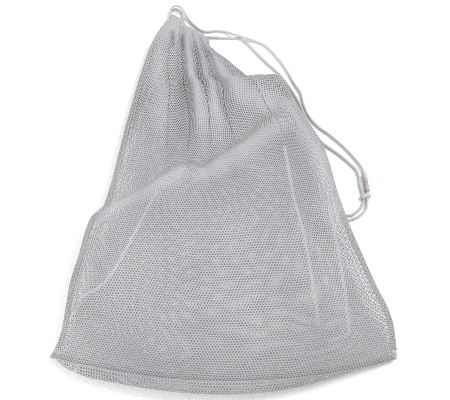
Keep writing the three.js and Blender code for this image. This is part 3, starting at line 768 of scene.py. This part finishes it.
def draw_together(a, b, rest):
    """Moves two sets of neighbours part of the way to their rest distance, in place."""
    gap = b - a
    length = np.maximum(np.linalg.norm(gap, axis=-1), TINY)
    shift = (0.5 * DRAW_SHARE * (1 - rest / length))[..., None] * gap
    a += shift
    b -= shift


def keep_above(points, base, floor):
    """Lifts points to the floor, or to the base form where that is lower, in place."""
    points[..., 2] = np.maximum(points[..., 2], np.minimum(base[..., 2], floor))


def settle(base, lift, floor, rng):
    """Lets the spare cloth buckle into folds around the base form, with its edges held."""
    rows, columns = base.shape[:2]
    arcs = row_lengths(base)
    rest_across = np.minimum(FLAT_WIDTH, arcs * MOST_GATHER)[:, None] / (columns - 1)
    rest_across = np.maximum(rest_across, lengths_along(base, 1))
    rest_along = lengths_along(base, 0) * SLACK_ALONG
    u = np.linspace(0, 1, columns)[None, :]
    v = np.linspace(0, 1, rows)[:, None]
    spare = clamp_unit(rest_across.mean(axis=1) * (columns - 1) / arcs - 1)[:, None]
    hold = clamp_unit(np.minimum(u, 1 - u) / HELD_ACROSS) * clamp_unit(np.minimum(v, 1 - v) / HELD_ALONG)
    reach = lift * hold * mix(LEAST_FOLD, 1, clamp_unit(spare / FULL_FOLD_AT))
    folds = FIRST_FOLD * reach * ripples(u, v, FOLD_WAVES, rng)
    points = base + grid_normals(base) * folds[..., None]
    for _ in range(SETTLE_STEPS):
        for first in (0, 1):
            stop = columns - (columns - first) % 2
            draw_together(points[:, first:stop:2], points[:, first + 1:stop:2], rest_across[:, first::2])
        for first in (0, 1):
            stop = rows - (rows - first) % 2
            draw_together(points[first:stop:2], points[first + 1:stop:2], rest_along[first::2])
        points[:, 1:-1] += EVENED_ACROSS * (points[:, 2:] + points[:, :-2] - 2 * points[:, 1:-1])
        points[1:-1] += EVENED_ALONG * (points[2:] + points[:-2] - 2 * points[1:-1])
        points += PULL_HOME * (base - points)
        off = points - base
        far = np.maximum(np.linalg.norm(off, axis=-1), TINY)
        points = base + off * np.minimum(1, reach / far)[..., None]
        keep_above(points, base, floor)
    return points


# The spare cloth of the neck, folded under along the tucks

def tuck_places(acrosses, cloths):
    """Share of each row's length at which every tuck lies."""
    even = np.linspace(0, 1, acrosses.shape[1])
    places = []
    for at_mouth, at_foot in zip(TUCKS["at_mouth"], TUCKS["at_foot"]):
        wander = TUCK_WANDER * np.sin(TUCK_WANDER_RATE * cloths + TUCK_WANDER_SHIFT * at_foot)
        centres = mix(at_foot, at_mouth, pleat_swing(cloths)) + wander
        places.append([np.interp(c, row, even) for c, row in zip(centres, acrosses)])
    return np.array(places).T


def tucked_share(grid, cloths):
    """Share of each row's cloth that goes into the tucks."""
    spare = clamp_unit(1 - row_lengths(grid) / (FLAT_WIDTH * squeeze(cloths)))
    return spare * smooth_step((cloths - TUCK_FOOT) / TUCK_RISE)


def dip_along_tucks(grid, places, tucked, inward):
    """Draws the cloth in beside every tuck, most where most cloth is tucked."""
    even = np.linspace(0, 1, grid.shape[1])[None, :]
    off = np.min(np.abs(even[..., None] - places[:, None, :]), axis=-1) * row_lengths(grid)[:, None]
    dip = TUCK_DIP * clamp_unit(TUCK_DIP_RATE * tucked[:, None]) * bell(off / TUCK_DIP_WIDTH)
    return grid + inward * grid_normals(grid) * dip[..., None]


def tuck_tables(grid, places, tucked, cloths):
    """At even steps of cloth across each row: the share of the row's length, and the depth under it."""
    arcs = row_lengths(grid)
    shallow = smooth_step((cloths - TUCK_SHALLOWS_FROM) / (1 - TUCK_SHALLOWS_FROM))
    limit = mix(TUCK_DEPTH, TUCK_DEPTH_AT_MOUTH, shallow)
    takes = TUCKS["takes"] / TUCKS["takes"].sum()
    cloth_steps = np.linspace(0, 1, TUCK_STEPS)
    shares = np.zeros((len(arcs), TUCK_STEPS))
    depths = np.zeros((len(arcs), TUCK_STEPS))
    for j, place in enumerate(places):
        widths = tucked[j] * takes
        starts = (1 - tucked[j]) * place + np.cumsum(widths) - widths
        lips = TUCK_OPENING / 2 / arcs[j] * clamp_unit(widths * FLAT_WIDTH)
        keys = np.stack([starts, starts + widths], axis=1).ravel()
        values = np.stack([place - lips, place + lips], axis=1).ravel()
        shares[j] = np.interp(cloth_steps, [0, *keys, 1], [0, *values, 1])
        within = (cloth_steps[:, None] - starts) / np.maximum(widths, TINY)
        hats = clamp_unit(1 - np.abs(2 * within - 1))
        depths[j] = (hats * np.minimum(limit[j], widths * FLAT_WIDTH / 2)).sum(axis=1)
    return shares, depths


# Net: a lattice of six-sided holes knitted over the settled cloth

def grid_place(grid, u, v):
    """Cell of a grid at shares u across and v along, and the place in that cell."""
    rows, columns = grid.shape[:2]
    s, t = clamp_unit(u) * (columns - 1), clamp_unit(v) * (rows - 1)
    i, j = np.minimum(s.astype(int), columns - 2), np.minimum(t.astype(int), rows - 2)
    return i, j, s - i, t - j


def read_even(values, u, v):
    """Straight-line reading of a table of numbers at shares u across and v along."""
    i, j, s, t = grid_place(values, u, v)
    low = mix(values[j, i], values[j, i + 1], s)
    high = mix(values[j + 1, i], values[j + 1, i + 1], s)
    return mix(low, high, t)


def read_grid(grid, u, v):
    """Smooth reading of a grid of points at shares u across and v along."""
    rows, columns = grid.shape[:2]
    i, j, s, t = grid_place(grid, u, v)

    def weights(t):
        return (
            0.5 * (-t + 2 * t ** 2 - t ** 3),
            0.5 * (2 - 5 * t ** 2 + 3 * t ** 3),
            0.5 * (t + 4 * t ** 2 - 3 * t ** 3),
            0.5 * (t ** 3 - t ** 2),
        )

    total = 0
    for row_step, row_weight in zip((-1, 0, 1, 2), weights(t)):
        row = np.clip(j + row_step, 0, rows - 1)
        for column_step, column_weight in zip((-1, 0, 1, 2), weights(s)):
            column = np.clip(i + column_step, 0, columns - 1)
            total = total + grid[row, column] * (row_weight * column_weight)[:, None]
    return total


def net_lattice(width, length):
    """Hole centres of a staggered lattice, and the faces between six-cornered holes."""
    columns = int(math.ceil(width / NET_PITCH)) + 1
    row_pitch = NET_PITCH * math.sqrt(3) / 2
    rows = int(math.ceil(length / row_pitch)) + 1
    i, j = np.meshgrid(np.arange(columns), np.arange(rows))
    odd = j % 2
    centres = np.stack([(i + 0.5 * odd) * NET_PITCH, j * row_pitch], axis=-1)
    number = i + j * columns

    def corner(step_i, step_j, k):
        """Corner k of each hole's neighbour, or -1 where it has none."""
        to_i = i + step_i + (odd if step_j else 0)
        to_j = j + step_j
        inside = (to_i >= 0) & (to_i < columns) & (to_j < rows)
        return np.where(inside, (to_i + to_j * columns) * HOLE_SIDES + k, -1).ravel()

    own = [(number * HOLE_SIDES + k).ravel() for k in range(HOLE_SIDES)]
    right, up_right, up_left = (1, 0), (0, 1), (-1, 1)
    faces = []
    for face_corners in (
        (own[5], corner(*right, 3), corner(*right, 2), own[0]),
        (own[0], corner(*up_right, 4), corner(*up_right, 3), own[1]),
        (own[1], corner(*up_left, 5), corner(*up_left, 4), own[2]),
        (own[0], corner(*right, 2), corner(*up_right, 4)),
        (own[1], corner(*up_right, 3), corner(*up_left, 5)),
    ):
        face = np.stack(face_corners, axis=1)
        faces += face[(face >= 0).all(axis=1)].tolist()
    return centres.reshape(-1, 2), faces


def net_corners(centres, openness):
    """Corners of every hole, smaller where it is less open."""
    angles = np.radians(30 + 60 * np.arange(HOLE_SIDES))
    reach = NET_PITCH / math.sqrt(3) * HOLE_SHARE * openness
    circle = np.stack([np.cos(angles), np.sin(angles)], axis=-1)
    return (centres[:, None, :] + reach[:, None, None] * circle[None]).reshape(-1, 2)


def hole_openness(spots, acrosses, cloths, on_front):
    """How open each hole is: less where the cloth is squeezed, doubled, pinched, slack or pleated."""
    openness = mix(SQUEEZED_OPEN, 1, clamp_unit((squeeze(cloths) - SQUEEZED_FROM) / SQUEEZED_SPAN))
    openness *= 1 - HEM_CLOSES * smooth_step((cloths - HEM_CLOSES_FROM) / (1 - HEM_CLOSES_FROM))
    if on_front:
        x, y = spots[:, 0], spots[:, 1]
        pinch = along_runs(x, y, CREASES, PINCH_CLOSE_WIDTH) / PINCH_WHOLE_AT
        openness *= 1 - PINCH_CLOSES * clamp_unit(PINCH_CLOSE_RATE * pinch)
        openness *= 1 - along_runs(x, y, SMOOTH_STRETCHES, SMOOTH_STRETCHES["half_width"])
        pleats = pleat_height(acrosses, cloths)
        openness *= 1 - PLEAT_CLOSES * clamp_unit(pleats / PLEAT_CLOSED_AT)
    return openness


def casing_arch(share):
    """How far the casing's front stretch arches up at a share of its length."""
    return CASING_FRONT_ARCH * np.abs(np.sin(math.pi * share)) ** CASING_ARCH_POWER


def casing_top(along):
    """Height of the casing's upper side at places along the mouth."""
    run = MOUTH_WIDTH - CASING_END_INSET
    bend = (CASING_FRONT_HEIGHT - CASING_BACK_HEIGHT + CASING_THICKNESS) / 2
    middle = (CASING_FRONT_HEIGHT + CASING_BACK_HEIGHT) / 2
    share = clamp_unit((along - CASING_START_INSET) / (run - CASING_START_INSET))
    beyond = np.clip((along - run) / bend, 0, CASING_END_LIMIT)
    return middle + bend * np.sqrt(1 - beyond ** 2) + casing_arch(share)


def hem_rows(mouth_row, acrosses):
    """The rows that carry the front panel on over the casing and round its edge."""
    along = acrosses * MOUTH_WIDTH
    reach = hem_reach(acrosses)
    edge_round = np.minimum(HEM_ROUND, HEM_ROUND_SHARE * reach)
    from_left = smooth_step((along - HEM_ENDS_AT) / HEM_END_WIDTH)
    from_right = smooth_step((MOUTH_WIDTH - along) / HEM_END_WIDTH)
    top = mix(mouth_row[:, 2], casing_top(along) + HEM_LIFT, from_left * from_right)
    drift = HEM_RUFFLE_DRIFT * np.sin(along / HEM_DRIFT_LENGTH)
    top = top + HEM_RUFFLE * np.sin(2 * math.pi * along / HEM_RUFFLE_PITCH + drift)
    rows = []
    for share in np.linspace(0, 1, HEM_ROWS + 1)[1:]:
        travelled = share * (reach + HEM_DROP)
        turn = clamp_unit((travelled - reach + edge_round) / (HEM_DROP + edge_round)) * math.pi / 2
        out = np.minimum(travelled, reach - edge_round) + edge_round * np.sin(turn)
        row = mouth_row + MOUTH_OUT * out[:, None]
        risen = mix(mouth_row[:, 2], top, smooth_step(share / HEM_RISES_WITHIN))
        row[:, 2] = risen - HEM_DROP * (1 - np.cos(turn))
        rows.append(row)
    return np.array(rows)


def net_panel(surface, lift, floor, inward, rng):
    """Net over a panel that has settled, with its spare cloth tucked in: points and faces."""
    on_front = inward < 0
    base, acrosses, cloths = even_grid(surface)
    places = tuck_places(acrosses, cloths)
    grid = settle(base, lift, floor, rng)
    tucked = tucked_share(grid, cloths)
    grid = dip_along_tucks(grid, places, tucked, inward)
    keep_above(grid, base, floor)
    if on_front:
        grid = np.concatenate([grid, hem_rows(grid[-1], acrosses[-1])])
        grid[..., 2] -= along_runs(grid[..., 0], grid[..., 1], HEM_GROOVES, HEM_GROOVES["half_width"])
        places, tucked, cloths, acrosses = [
            np.concatenate([rows, np.repeat(rows[-1:], HEM_ROWS, axis=0)])
            for rows in (places, tucked, cloths, acrosses)
        ]
    shares, depths = tuck_tables(grid, places, tucked, cloths)
    centres, faces = net_lattice(FLAT_WIDTH, FLAT_LENGTH)
    u, v = centres[:, 0] / FLAT_WIDTH, centres[:, 1] / FLAT_LENGTH
    wander = NET_WANDER * np.stack([ripples(u, v, WANDER_WAVES, rng) for _ in range(2)], axis=-1)
    share = read_even(shares, u, v)
    cloth = np.interp(v, np.linspace(0, 1, len(cloths)), cloths)
    openness = hole_openness(read_grid(grid, share, v), read_even(acrosses, share, v), cloth, on_front)
    corners = net_corners(centres + wander, openness)
    u, v = corners[:, 0] / FLAT_WIDTH, corners[:, 1] / FLAT_LENGTH
    share = read_even(shares, u, v)
    under = inward * read_grid(grid_normals(grid), share, v) * read_even(depths, u, v)[:, None]
    return read_grid(grid, share, v) + under, faces


# Making pieces

def to_frame(points):
    """Points in layout millimetres, moved to the frame's metres."""
    return (np.asarray(points, float) - BOX_CENTRE) * MM


def add_piece(name, points, faces, material, slot, node):
    """A piece from points in layout millimetres, standing for a CAD node, on the one body."""
    mesh = bpy.data.meshes.new(name)
    mesh.from_pydata(to_frame(points).reshape(-1, 3).tolist(), [], faces)
    mesh.polygons.foreach_set("use_smooth", np.ones(len(mesh.polygons), bool))
    mesh.materials.append(material)
    mesh.update()
    piece = bpy.data.objects.new(name, mesh)
    bpy.context.scene.collection.objects.link(piece)
    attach(piece, "root")
    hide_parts(node)
    return piece


def ring_faces(rings, capped=True):
    """Four-sided faces between a tube's rings, and one over each end if it is capped."""
    count, sides = rings.shape[:2]
    faces = []
    for start in range(0, (count - 1) * sides, sides):
        for i in range(sides):
            k = (i + 1) % sides
            faces.append([start + i, start + k, start + sides + k, start + sides + i])
    if capped:
        last = (count - 1) * sides
        faces += [list(range(sides))[::-1], list(range(last, last + sides))]
    return faces


class Shape:
    """Points and faces gathered from several forms for one piece."""

    def __init__(self):
        self.points = np.zeros((0, 3))
        self.faces = []

    def add(self, points, faces):
        start = len(self.points)
        self.points = np.concatenate([self.points, points])
        self.faces += [[k + start for k in face] for face in faces]

    def add_rings(self, rings, capped=True):
        self.add(rings.reshape(-1, 3), ring_faces(rings, capped))


def smooth_path(route, step):
    """Even points on a smooth curve through a route."""
    route = np.asarray(route, float)
    keys = np.concatenate([[0], np.cumsum(np.sqrt(lengths_along(route, 0)))])
    slopes = np.gradient(route, keys, axis=0)
    t = np.linspace(0, keys[-1], PATH_STEPS * len(route))
    i = np.clip(np.searchsorted(keys, t) - 1, 0, len(keys) - 2)
    span = (keys[i + 1] - keys[i])[:, None]
    share = (t - keys[i])[:, None] / span
    curve = cubic(route[i], route[i + 1], slopes[i], slopes[i + 1], span, share)
    travelled = travelled_along(curve)
    count = max(LEAST_POINTS, int(round(travelled[-1] / step)) + 1)
    return points_at(np.linspace(0, travelled[-1], count), travelled, curve)


def ring_frames(path):
    """Two directions square to a path at each point, carried along without twist."""
    tangents = unit(np.gradient(path, axis=0))
    side = np.cross(tangents[0], UP)
    sides = []
    for tangent in tangents:
        side = side - tangent * side.dot(tangent)
        side = side / np.linalg.norm(side)
        sides.append(side)
    sides = np.array(sides)
    return sides, np.cross(tangents, sides)


def ring_angles(sides):
    return 2 * math.pi * np.arange(sides) / sides


def tube(path, radius, sides):
    """Rings of a tube; radius is one number, or one for each ring and side."""
    side, up = ring_frames(path)
    angles = ring_angles(sides)[:, None]
    circle = side[:, None] * np.cos(angles) + up[:, None] * np.sin(angles)
    radius = np.broadcast_to(radius, (len(path), sides))
    return path[:, None] + circle * radius[..., None]


def braided_tube(path, diameter):
    """Rings of a round cord with the raised crossings of its braid."""
    angles = BRAID_STARTS * ring_angles(CORD_SIDES)
    turn = 2 * math.pi * travelled_along(path)[:, None] / BRAID_PITCH * BRAID_STARTS
    weave = np.abs(np.sin(0.5 * (angles + turn)) * np.sin(0.5 * (angles - turn)))
    radius = diameter / 2 - BRAID_RELIEF * (1 - weave)
    radius[[0, -1]] *= CORD_END_SHARE
    return tube(path, radius, CORD_SIDES)


# Materials

def new_material(name, roughness, sheen=0.0):
    material = bpy.data.materials.new(name)
    material.use_nodes = True
    nodes = material.node_tree.nodes
    shader = nodes["Principled BSDF"]
    shader.inputs["Roughness"].default_value = roughness
    shader.inputs["Sheen Weight"].default_value = sheen
    return material, nodes, material.node_tree.links, shader


def object_noise(nodes, links, scale, detail=2.0):
    place = nodes.new("ShaderNodeTexCoord")
    noise = nodes.new("ShaderNodeTexNoise")
    noise.inputs["Scale"].default_value = scale
    noise.inputs["Detail"].default_value = detail
    links.new(place.outputs["Object"], noise.inputs["Vector"])
    return noise.outputs["Fac"]


def colour_between(nodes, links, factor, dark, light, low=0.3, high=0.7):
    ramp = nodes.new("ShaderNodeValToRGB")
    for element, position, colour in zip(ramp.color_ramp.elements, (low, high), (dark, light)):
        element.position = position
        element.color = (*colour, 1)
    links.new(factor, ramp.inputs["Fac"])
    return ramp.outputs["Color"]


def add_bump(nodes, links, shader, height, strength, distance):
    bump = nodes.new("ShaderNodeBump")
    bump.inputs["Strength"].default_value = strength
    bump.inputs["Distance"].default_value = distance
    links.new(height, bump.inputs["Height"])
    links.new(bump.outputs["Normal"], shader.inputs["Normal"])


def cloth_material(name, dark, light, roughness, filaments):
    """White knitted cloth: slow greyish variation and a fine filament grain."""
    material, nodes, links, shader = new_material(name, roughness, CLOTH_SHEEN)
    tone = colour_between(nodes, links, object_noise(nodes, links, CLOTH_PATCHES), dark, light)
    links.new(tone, shader.inputs["Base Color"])
    fine = object_noise(nodes, links, filaments, FINE_DETAIL)
    add_bump(nodes, links, shader, fine, CLOTH_BUMP, CLOTH_BUMP_DEPTH)
    return material


def sleeve_material():
    """Soft blush plastic that pales towards its upper end."""
    material, nodes, links, shader = new_material("sleeve_plastic", SLEEVE_ROUGHNESS)
    place = nodes.new("ShaderNodeTexCoord")
    split = nodes.new("ShaderNodeSeparateXYZ")
    links.new(place.outputs["Generated"], split.inputs["Vector"])
    mottle = object_noise(nodes, links, SLEEVE_MOTTLE, FINE_DETAIL)
    blush = colour_between(nodes, links, mottle, *SLEEVE_TONES)
    fade = colour_between(nodes, links, split.outputs["Y"], (0, 0, 0), (1, 1, 1), *SLEEVE_PALES)
    blend = nodes.new("ShaderNodeMixRGB")
    links.new(fade, blend.inputs["Fac"])
    links.new(blush, blend.inputs["Color1"])
    blend.inputs["Color2"].default_value = (*SLEEVE_PALE, 1)
    links.new(blend.outputs["Color"], shader.inputs["Base Color"])
    add_bump(nodes, links, shader, mottle, SLEEVE_BUMP, SLEEVE_BUMP_DEPTH)
    return material


NET_WHITE, SEAM_WHITE, CORD_WHITE = [cloth_material(name, **look) for name, look in CLOTH_LOOKS.items()]
SLEEVE_BLUSH = sleeve_material()


# Cords, knot and sleeve

def casing_line():
    """Middle of the casing: along the front of the mouth, round its right end and back behind it."""
    start = MOUTH_LEFT + MOUTH_OUT * CASING_MIDDLE_OUT
    turn_radius = (CASING_FRONT_HEIGHT - CASING_BACK_HEIGHT) / 2
    run = MOUTH_WIDTH - CASING_END_INSET
    share = np.linspace(0, 1, CASING_POINTS)
    angle = np.linspace(0, math.pi, CASING_POINTS)[1:-1]
    front_run = mix(CASING_START_INSET, run, share)
    along = np.concatenate([front_run, run + turn_radius * np.sin(angle), front_run[::-1]])
    front_up = CASING_FRONT_HEIGHT + casing_arch(share)
    turn_up = CASING_BACK_HEIGHT + turn_radius * (1 + np.cos(angle))
    up = np.concatenate([front_up, turn_up, np.full(CASING_POINTS, CASING_BACK_HEIGHT)])
    return start + along[:, None] * MOUTH_ALONG + up[:, None] * UP


def strand_route(cord_end, route):
    """A strand leaves the casing straight, then follows its route."""
    lead = cord_end - MOUTH_ALONG * (STRAND_GAP + STRAND_LEAD)
    return np.concatenate([[cord_end], [lead], route])


def cord_piece(name, route, node):
    """A braided cord along a route: the piece, and the path that it follows."""
    path = smooth_path(route, CORD_STEP)
    rings = braided_tube(path, CORD_DIAMETER)
    return add_piece(name, rings, ring_faces(rings), CORD_WHITE, "cord", node), path


def knot_piece():
    """Two cords through the knot, and a fat turn round them that swells into a lobe on each side."""
    shape = Shape()
    centre = np.array(KNOT_CENTRE)
    for strand, tail in ((OUTER_ROUTE, RIGHT_TAIL_ROUTE), (INNER_ROUTE, LEFT_TAIL_ROUTE)):
        top, bottom = np.array(strand[-1]), np.array(tail[0])
        middle = mix(mix(top, bottom, 0.5), centre, KNOT_CORD_DRAWN_IN)
        shape.add_rings(braided_tube(smooth_path([top, middle, bottom], KNOT_CORD_STEP), KNOT_CORD))
    angle = 2 * math.pi * np.linspace(-KNOT_HALF_TURN, KNOT_HALF_TURN, KNOT_STEPS)
    right, up = np.sin(angle), np.cos(angle)
    turn = np.stack([KNOT_REACH * right, KNOT_SLANT * KNOT_REACH * right, KNOT_RISE * up], axis=-1)
    fatness = KNOT_TURN_CORD + KNOT_SIDE_SWELL * right ** 2 + KNOT_RIGHT_SWELL * right
    fatness += KNOT_TOP_SWELL * up
    shape.add_rings(braided_tube(centre + turn, fatness[:, None]))
    return add_piece("overhand_knot", shape.points, shape.faces, CORD_WHITE, "cord", "cord_knot")


def sleeve_piece():
    """A short soft tube on the outer strand, with rolled rims and a shallow waist."""
    path = smooth_path(OUTER_ROUTE[SLEEVE_FROM_STEP:SLEEVE_TO_STEP + 1], SLEEVE_STEP)
    share = np.linspace(0, 1, len(path))[:, None]
    waist = SLEEVE_WAIST * np.sin(math.pi * share)
    rim = SLEEVE_RIM * (bell(share / SLEEVE_RIM_SHARE) + bell((1 - share) / SLEEVE_RIM_SHARE))
    outside = tube(path, SLEEVE_DIAMETER / 2 - waist + rim, SLEEVE_SIDES)
    inside = tube(path, SLEEVE_BORE / 2, SLEEVE_SIDES)
    rings = np.concatenate([outside, inside[::-1], outside[:1]])
    faces = ring_faces(rings, capped=False)
    return add_piece("soft_sleeve", rings, faces, SLEEVE_BLUSH, "sleeve", "cord_sleeve")


CASING_LINE = casing_line()
CASING_CORD = np.concatenate([
    [CASING_LINE[0] - MOUTH_ALONG * CASING_CORD_OUT],
    CASING_LINE,
    [CASING_LINE[-1] - MOUTH_ALONG * CASING_CORD_OUT],
])

cord_piece("cord_in_casing", CASING_CORD, "casing_cord")
outer_cord, outer_path = cord_piece("outer_cord", strand_route(CASING_CORD[0], OUTER_ROUTE), "outer_strand")
inner_cord, inner_path = cord_piece("inner_cord", strand_route(CASING_CORD[-1], INNER_ROUTE), "inner_strand")
left_end, left_path = cord_piece("left_cord_end", LEFT_TAIL_ROUTE, "left_tail")
right_end, right_path = cord_piece("right_cord_end", RIGHT_TAIL_ROUTE, "right_tail")
knot = knot_piece()
sleeve = sleeve_piece()


# Net panels

rng = np.random.default_rng(SEED)
front_form = net_panel(front_surface, FOLD_REACH, FRONT_FLOOR, -1, rng)
back_form = net_panel(back_surface, FOLD_REACH * BACK_FOLD_SHARE, BACK_FLOOR, 1, rng)
front_net = add_piece("front_net", *front_form, NET_WHITE, "net", "front_panel")
back_net = add_piece("back_net", *back_form, NET_WHITE, "net", "back_panel")


# Seams

def overlock_rings(line, inward, travelled, wave, side):
    """Rings of the thread that goes to and fro over one side of the allowance."""
    count = int(travelled[-1] / OVERLOCK_PITCH)
    stops = np.linspace(0, travelled[-1], 2 * count + 1)
    edge = SEAM_INSET + SEAM_WIDTH + OVERLOCK_PAST_EDGE
    out = np.where(np.arange(len(stops)) % 2, edge, SEAM_INSET - OVERLOCK_PAST_SEAM)
    share = (out - SEAM_INSET) / SEAM_WIDTH
    path = points_at(stops, travelled, line) + points_at(stops, travelled, inward) * out[:, None]
    path[:, 2] += side * OVERLOCK_HEIGHT + np.interp(stops, travelled, wave) * share
    return tube(path, OVERLOCK_THREAD, OVERLOCK_SIDES)


def seam_piece(name, line, inward_side, node):
    """A rolled edge on the seam line, the allowance inside the bag and its overlock thread."""
    shape = Shape()
    line = smooth_path(line, SEAM_STEP)
    shape.add_rings(tube(line, SEAM_ROLL, SEAM_ROLL_SIDES))
    along = np.gradient(line, axis=0)
    inward = unit(np.stack([-along[:, 1], along[:, 0], np.zeros(len(line))], axis=-1) * inward_side)
    travelled = travelled_along(line)
    slow_wave = SEAM_SLOW_WAVE * np.sin(travelled / SEAM_SLOW_LENGTH + 1)
    wave = SEAM_WAVE * (np.sin(travelled / SEAM_WAVE_LENGTH) + slow_wave)
    strip = []
    for out, up in zip(*SEAM_SECTION.values()):
        reach = SEAM_INSET + SEAM_WIDTH * out + wave * out * SEAM_EDGE_WAVE
        strip.append(line + inward * reach[:, None] + UP * (up + wave * out)[:, None])
    shape.add_rings(np.stack(strip, axis=1))
    for side in (1, -1):
        shape.add_rings(overlock_rings(line, inward, travelled, wave, side), capped=False)
    return add_piece(name, shape.points, shape.faces, SEAM_WHITE, "seam", node)


side_cloths = np.linspace(*SIDE_SEAM_SPAN, SEAM_POINTS)
bottom_shares = np.linspace(*BOTTOM_SEAM_SPAN, SEAM_POINTS)
seam_piece("left_seam", front_surface(0, side_cloths), -1, "left_side_seam")
seam_piece("right_seam", front_surface(1, side_cloths), 1, "right_side_seam")
seam_piece("lower_seam", front_surface(bottom_shares, 0), 1, "bottom_seam")


# Gathered casing

def casing_surface(scale, phase, rng):
    """Ruffled tube round the cord, as a grid of points: along the casing, and round it."""
    line = smooth_path(CASING_LINE, CASING_STEP)
    across = unit(np.cross(unit(np.gradient(line, axis=0)), MOUTH_OUT))
    travelled = travelled_along(line)[:, None]
    angle = np.linspace(0, 2 * math.pi, CASING_SIDES + 1)[None, :]
    outward = np.cos(angle)
    field = ripples(travelled / CASING_LENGTH, outward * RUFFLE_WAVE_ROUND, RUFFLE_WAVES, rng)
    ruffle = np.sin(2 * math.pi * travelled / RUFFLE_PITCH + RUFFLE_DRIFT * field + phase)
    share = mix(RUFFLE_SHARE_INSIDE, 1, clamp_unit(outward))
    depth = scale * (CASING_DEPTH / 2 + RUFFLE_DEPTH * ruffle * share)
    thick = scale * (CASING_THICKNESS / 2 + RUFFLE_SHARE_ABOVE * RUFFLE_DEPTH * ruffle)
    out = MOUTH_OUT * (depth * outward)[..., None]
    return line[:, None] + out + across[:, None] * (thick * np.sin(angle))[..., None]


def casing_piece(rng):
    """Layers of gathered net round the cord at the mouth."""
    shape = Shape()
    for layer, scale in enumerate(CASING_LAYERS):
        grid = casing_surface(scale, RUFFLE_LAYER_SHIFT * layer, rng)
        width = CASING_GIRTH * scale * CASING_SPARE_ROUND
        length = CASING_LENGTH * CASING_SPARE_ALONG
        centres, faces = net_lattice(width, length)
        corners = net_corners(centres, np.full(len(centres), CASING_OPEN))
        shape.add(read_grid(grid, corners[:, 0] / width, corners[:, 1] / length), faces)
    return add_piece("gathered_casing", shape.points, shape.faces, SEAM_WHITE, "seam", "mouth_casing")


casing_piece(rng)


# Floor, light and camera

def add_floor():
    mesh = bpy.data.meshes.new("floor")
    corners = [(-FLOOR_REACH, -FLOOR_REACH), (FLOOR_REACH, -FLOOR_REACH)]
    corners += [(-x, -y) for x, y in corners]
    mesh.from_pydata([(x, y, 0) for x, y in corners], [], [range(len(corners))])
    material, nodes, links, shader = new_material("pale_floor", FLOOR_ROUGHNESS)
    tone = colour_between(nodes, links, object_noise(nodes, links, FLOOR_GRAIN), *FLOOR_TONES)
    links.new(tone, shader.inputs["Base Color"])
    mesh.materials.append(material)
    floor = bpy.data.objects.new("floor", mesh)
    floor.location.z = -FLOOR_DROP
    bpy.context.scene.collection.objects.link(floor)


def add_light(name, place, size, watts):
    light = bpy.data.lights.new(name, "AREA")
    light.size = size
    light.energy = watts
    lamp = bpy.data.objects.new(name, light)
    lamp.location = place
    lamp.rotation_mode = "QUATERNION"
    lamp.rotation_quaternion = (-Vector(place)).to_track_quat("-Z", "Y")
    bpy.context.scene.collection.objects.link(lamp)


def add_camera():
    target = Vector(to_frame((0, 0, 0)))
    back = Vector((0, -math.cos(CAMERA_ELEVATION), math.sin(CAMERA_ELEVATION)))
    data = bpy.data.cameras.new("camera")
    data.sensor_width = SENSOR_WIDTH
    data.lens = CAMERA_LENS
    camera = bpy.data.objects.new("camera", data)
    camera.location = target + back * CAMERA_DISTANCE * MM
    camera.rotation_mode = "QUATERNION"
    camera.rotation_quaternion = (-back).to_track_quat("-Z", "Y")
    bpy.context.scene.collection.objects.link(camera)
    bpy.context.scene.camera = camera


def add_world():
    world = bpy.data.worlds.new("studio")
    world.use_nodes = True
    background = world.node_tree.nodes["Background"]
    background.inputs["Color"].default_value = (1, 1, 1, 1)
    background.inputs["Strength"].default_value = WORLD_STRENGTH
    bpy.context.scene.world = world


add_floor()
for light in LIGHTS:
    add_light(**light)
add_camera()
add_world()
bpy.context.scene.view_settings.view_transform = "Standard"
bpy.context.scene.cycles.use_denoising = False
bpy.context.scene.cycles.filter_width = PIXEL_FILTER
